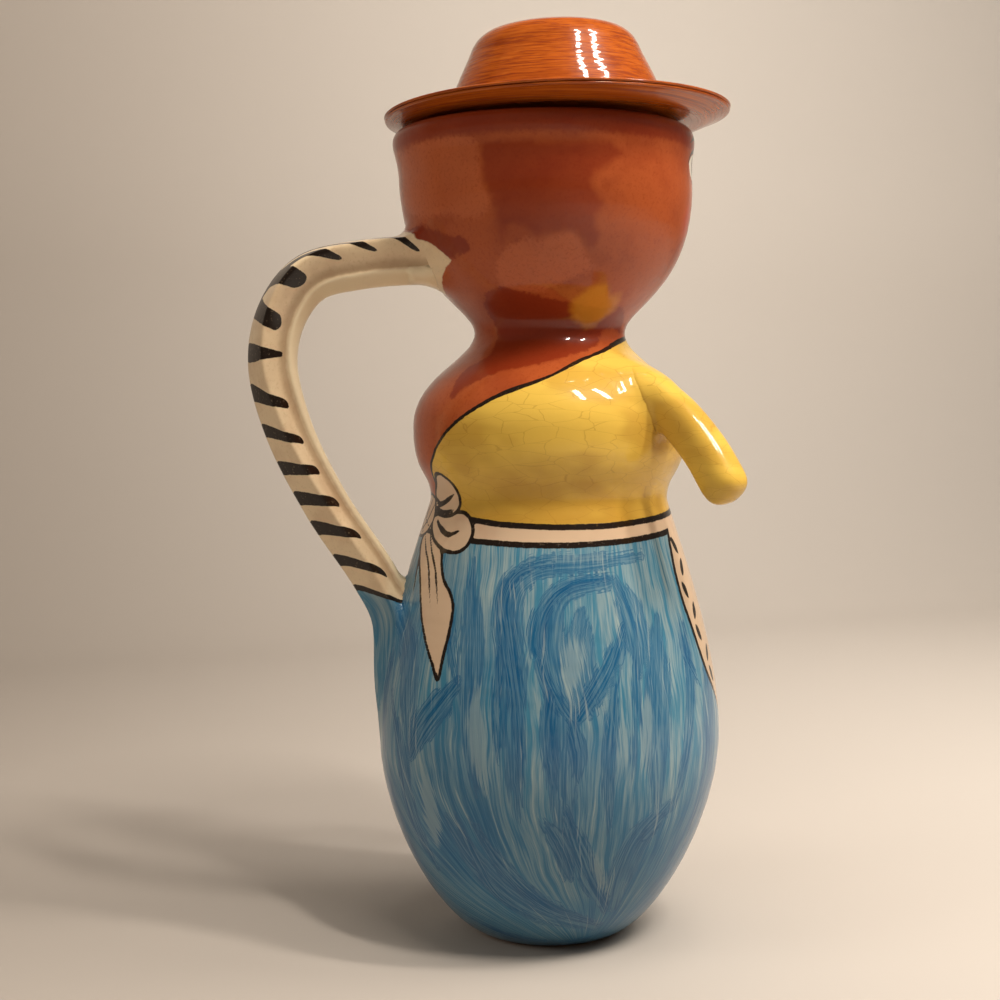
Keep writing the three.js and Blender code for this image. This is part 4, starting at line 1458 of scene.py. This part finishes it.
def sweep_backdrop(stage):
    """A floor that rises behind the pitcher in a quarter circle to an upright wall, swept level, and that
    darkens away from the lamps and towards the floor."""
    turn = -math.atan2(stage.camera_place[0], -stage.camera_place[1])
    reach, rise, half = 0.72, 0.35, 3.0
    bendy = [(reach + rise * math.sin(a), rise - rise * math.cos(a)) for a in np.linspace(0, math.pi / 2, 17)]
    profile = np.array([(-6.0, 0), *bendy, (reach + rise, 3.0)])
    depth, height = profile.T
    sides = np.array([-half, half])[:, None]
    across, depth, height = np.broadcast_arrays(sides, depth, height - FLOOR_GAP)
    points = np.stack([across * math.cos(turn) - depth * math.sin(turn),
                       across * math.sin(turn) + depth * math.cos(turn), height], -1)
    count = len(profile)
    first = np.arange(count - 1)
    quads = np.stack([first, first + count, first + count + 1, first + 1], 1)
    mesh = bpy.data.meshes.new("backdrop")
    mesh.from_pydata(points.reshape(-1, 3).tolist(), [], quads.tolist())
    mesh.shade_smooth()
    backdrop = bpy.data.objects.new("backdrop", mesh)
    bpy.context.scene.collection.objects.link(backdrop)
    tree = Tree("backdrop_finish")
    x, _, z = tree.place()
    # painted shade: the backdrop darkens towards -X, away from the lamps
    shade = tree.mix(tree.step(x, 450.0, -500.0), stage.backdrop, BACKDROP_PAINTED_SHADE)
    shade = tree.mix(tree.step(z, 500.0, 0.0), shade, FLOOR_SHADE, "MULTIPLY")
    tree.put(tree.shader.inputs["Base Color"], shade)
    tree.shader.inputs["Roughness"].default_value = 0.8
    mesh.materials.append(tree.material)
    return backdrop


class PITCHER_PT_panel(bpy.types.Panel):
    """Buttons for each piece, and the sizes that they use"""
    bl_idname = "PITCHER_PT_panel"
    bl_label = "Pitcher"
    bl_space_type = "VIEW_3D"
    bl_region_type = "UI"
    bl_category = "Pitcher"

    def draw(self, context):
        for operator in OPERATORS:
            self.layout.operator(operator.bl_idname)
        for name in GROUPS:
            group = getattr(context.scene, name)
            box = self.layout.box()
            for key in group.bl_rna.properties.keys():
                if key not in {"rna_type", "name"}:
                    box.prop(group, key)


OPERATORS = (PITCHER_OT_stage, PITCHER_OT_vessel, PITCHER_OT_handle, PITCHER_OT_arms, PITCHER_OT_hat)
GROUPS = {
    "pitcher_vessel": PitcherVesselSizes,
    "pitcher_handle": PitcherHandleSizes,
    "pitcher_arms": PitcherArmSizes,
    "pitcher_hat": PitcherHatSizes,
    "pitcher_colours": PitcherColours,
    "pitcher_stage": PitcherStage,
}


def register():
    for cls in (*GROUPS.values(), *OPERATORS, PITCHER_PT_panel):
        bpy.utils.register_class(cls)
    for name, group in GROUPS.items():
        setattr(bpy.types.Scene, name, PointerProperty(type=group))


def unregister():
    for name in GROUPS:
        delattr(bpy.types.Scene, name)
    for cls in reversed((*GROUPS.values(), *OPERATORS, PITCHER_PT_panel)):
        bpy.utils.unregister_class(cls)


def main():
    register()
    bpy.ops.pitcher.stage()
    bpy.ops.pitcher.vessel()
    bpy.ops.pitcher.handle()
    bpy.ops.pitcher.arms()
    bpy.ops.pitcher.hat()


if __name__ == "__main__":
    main()
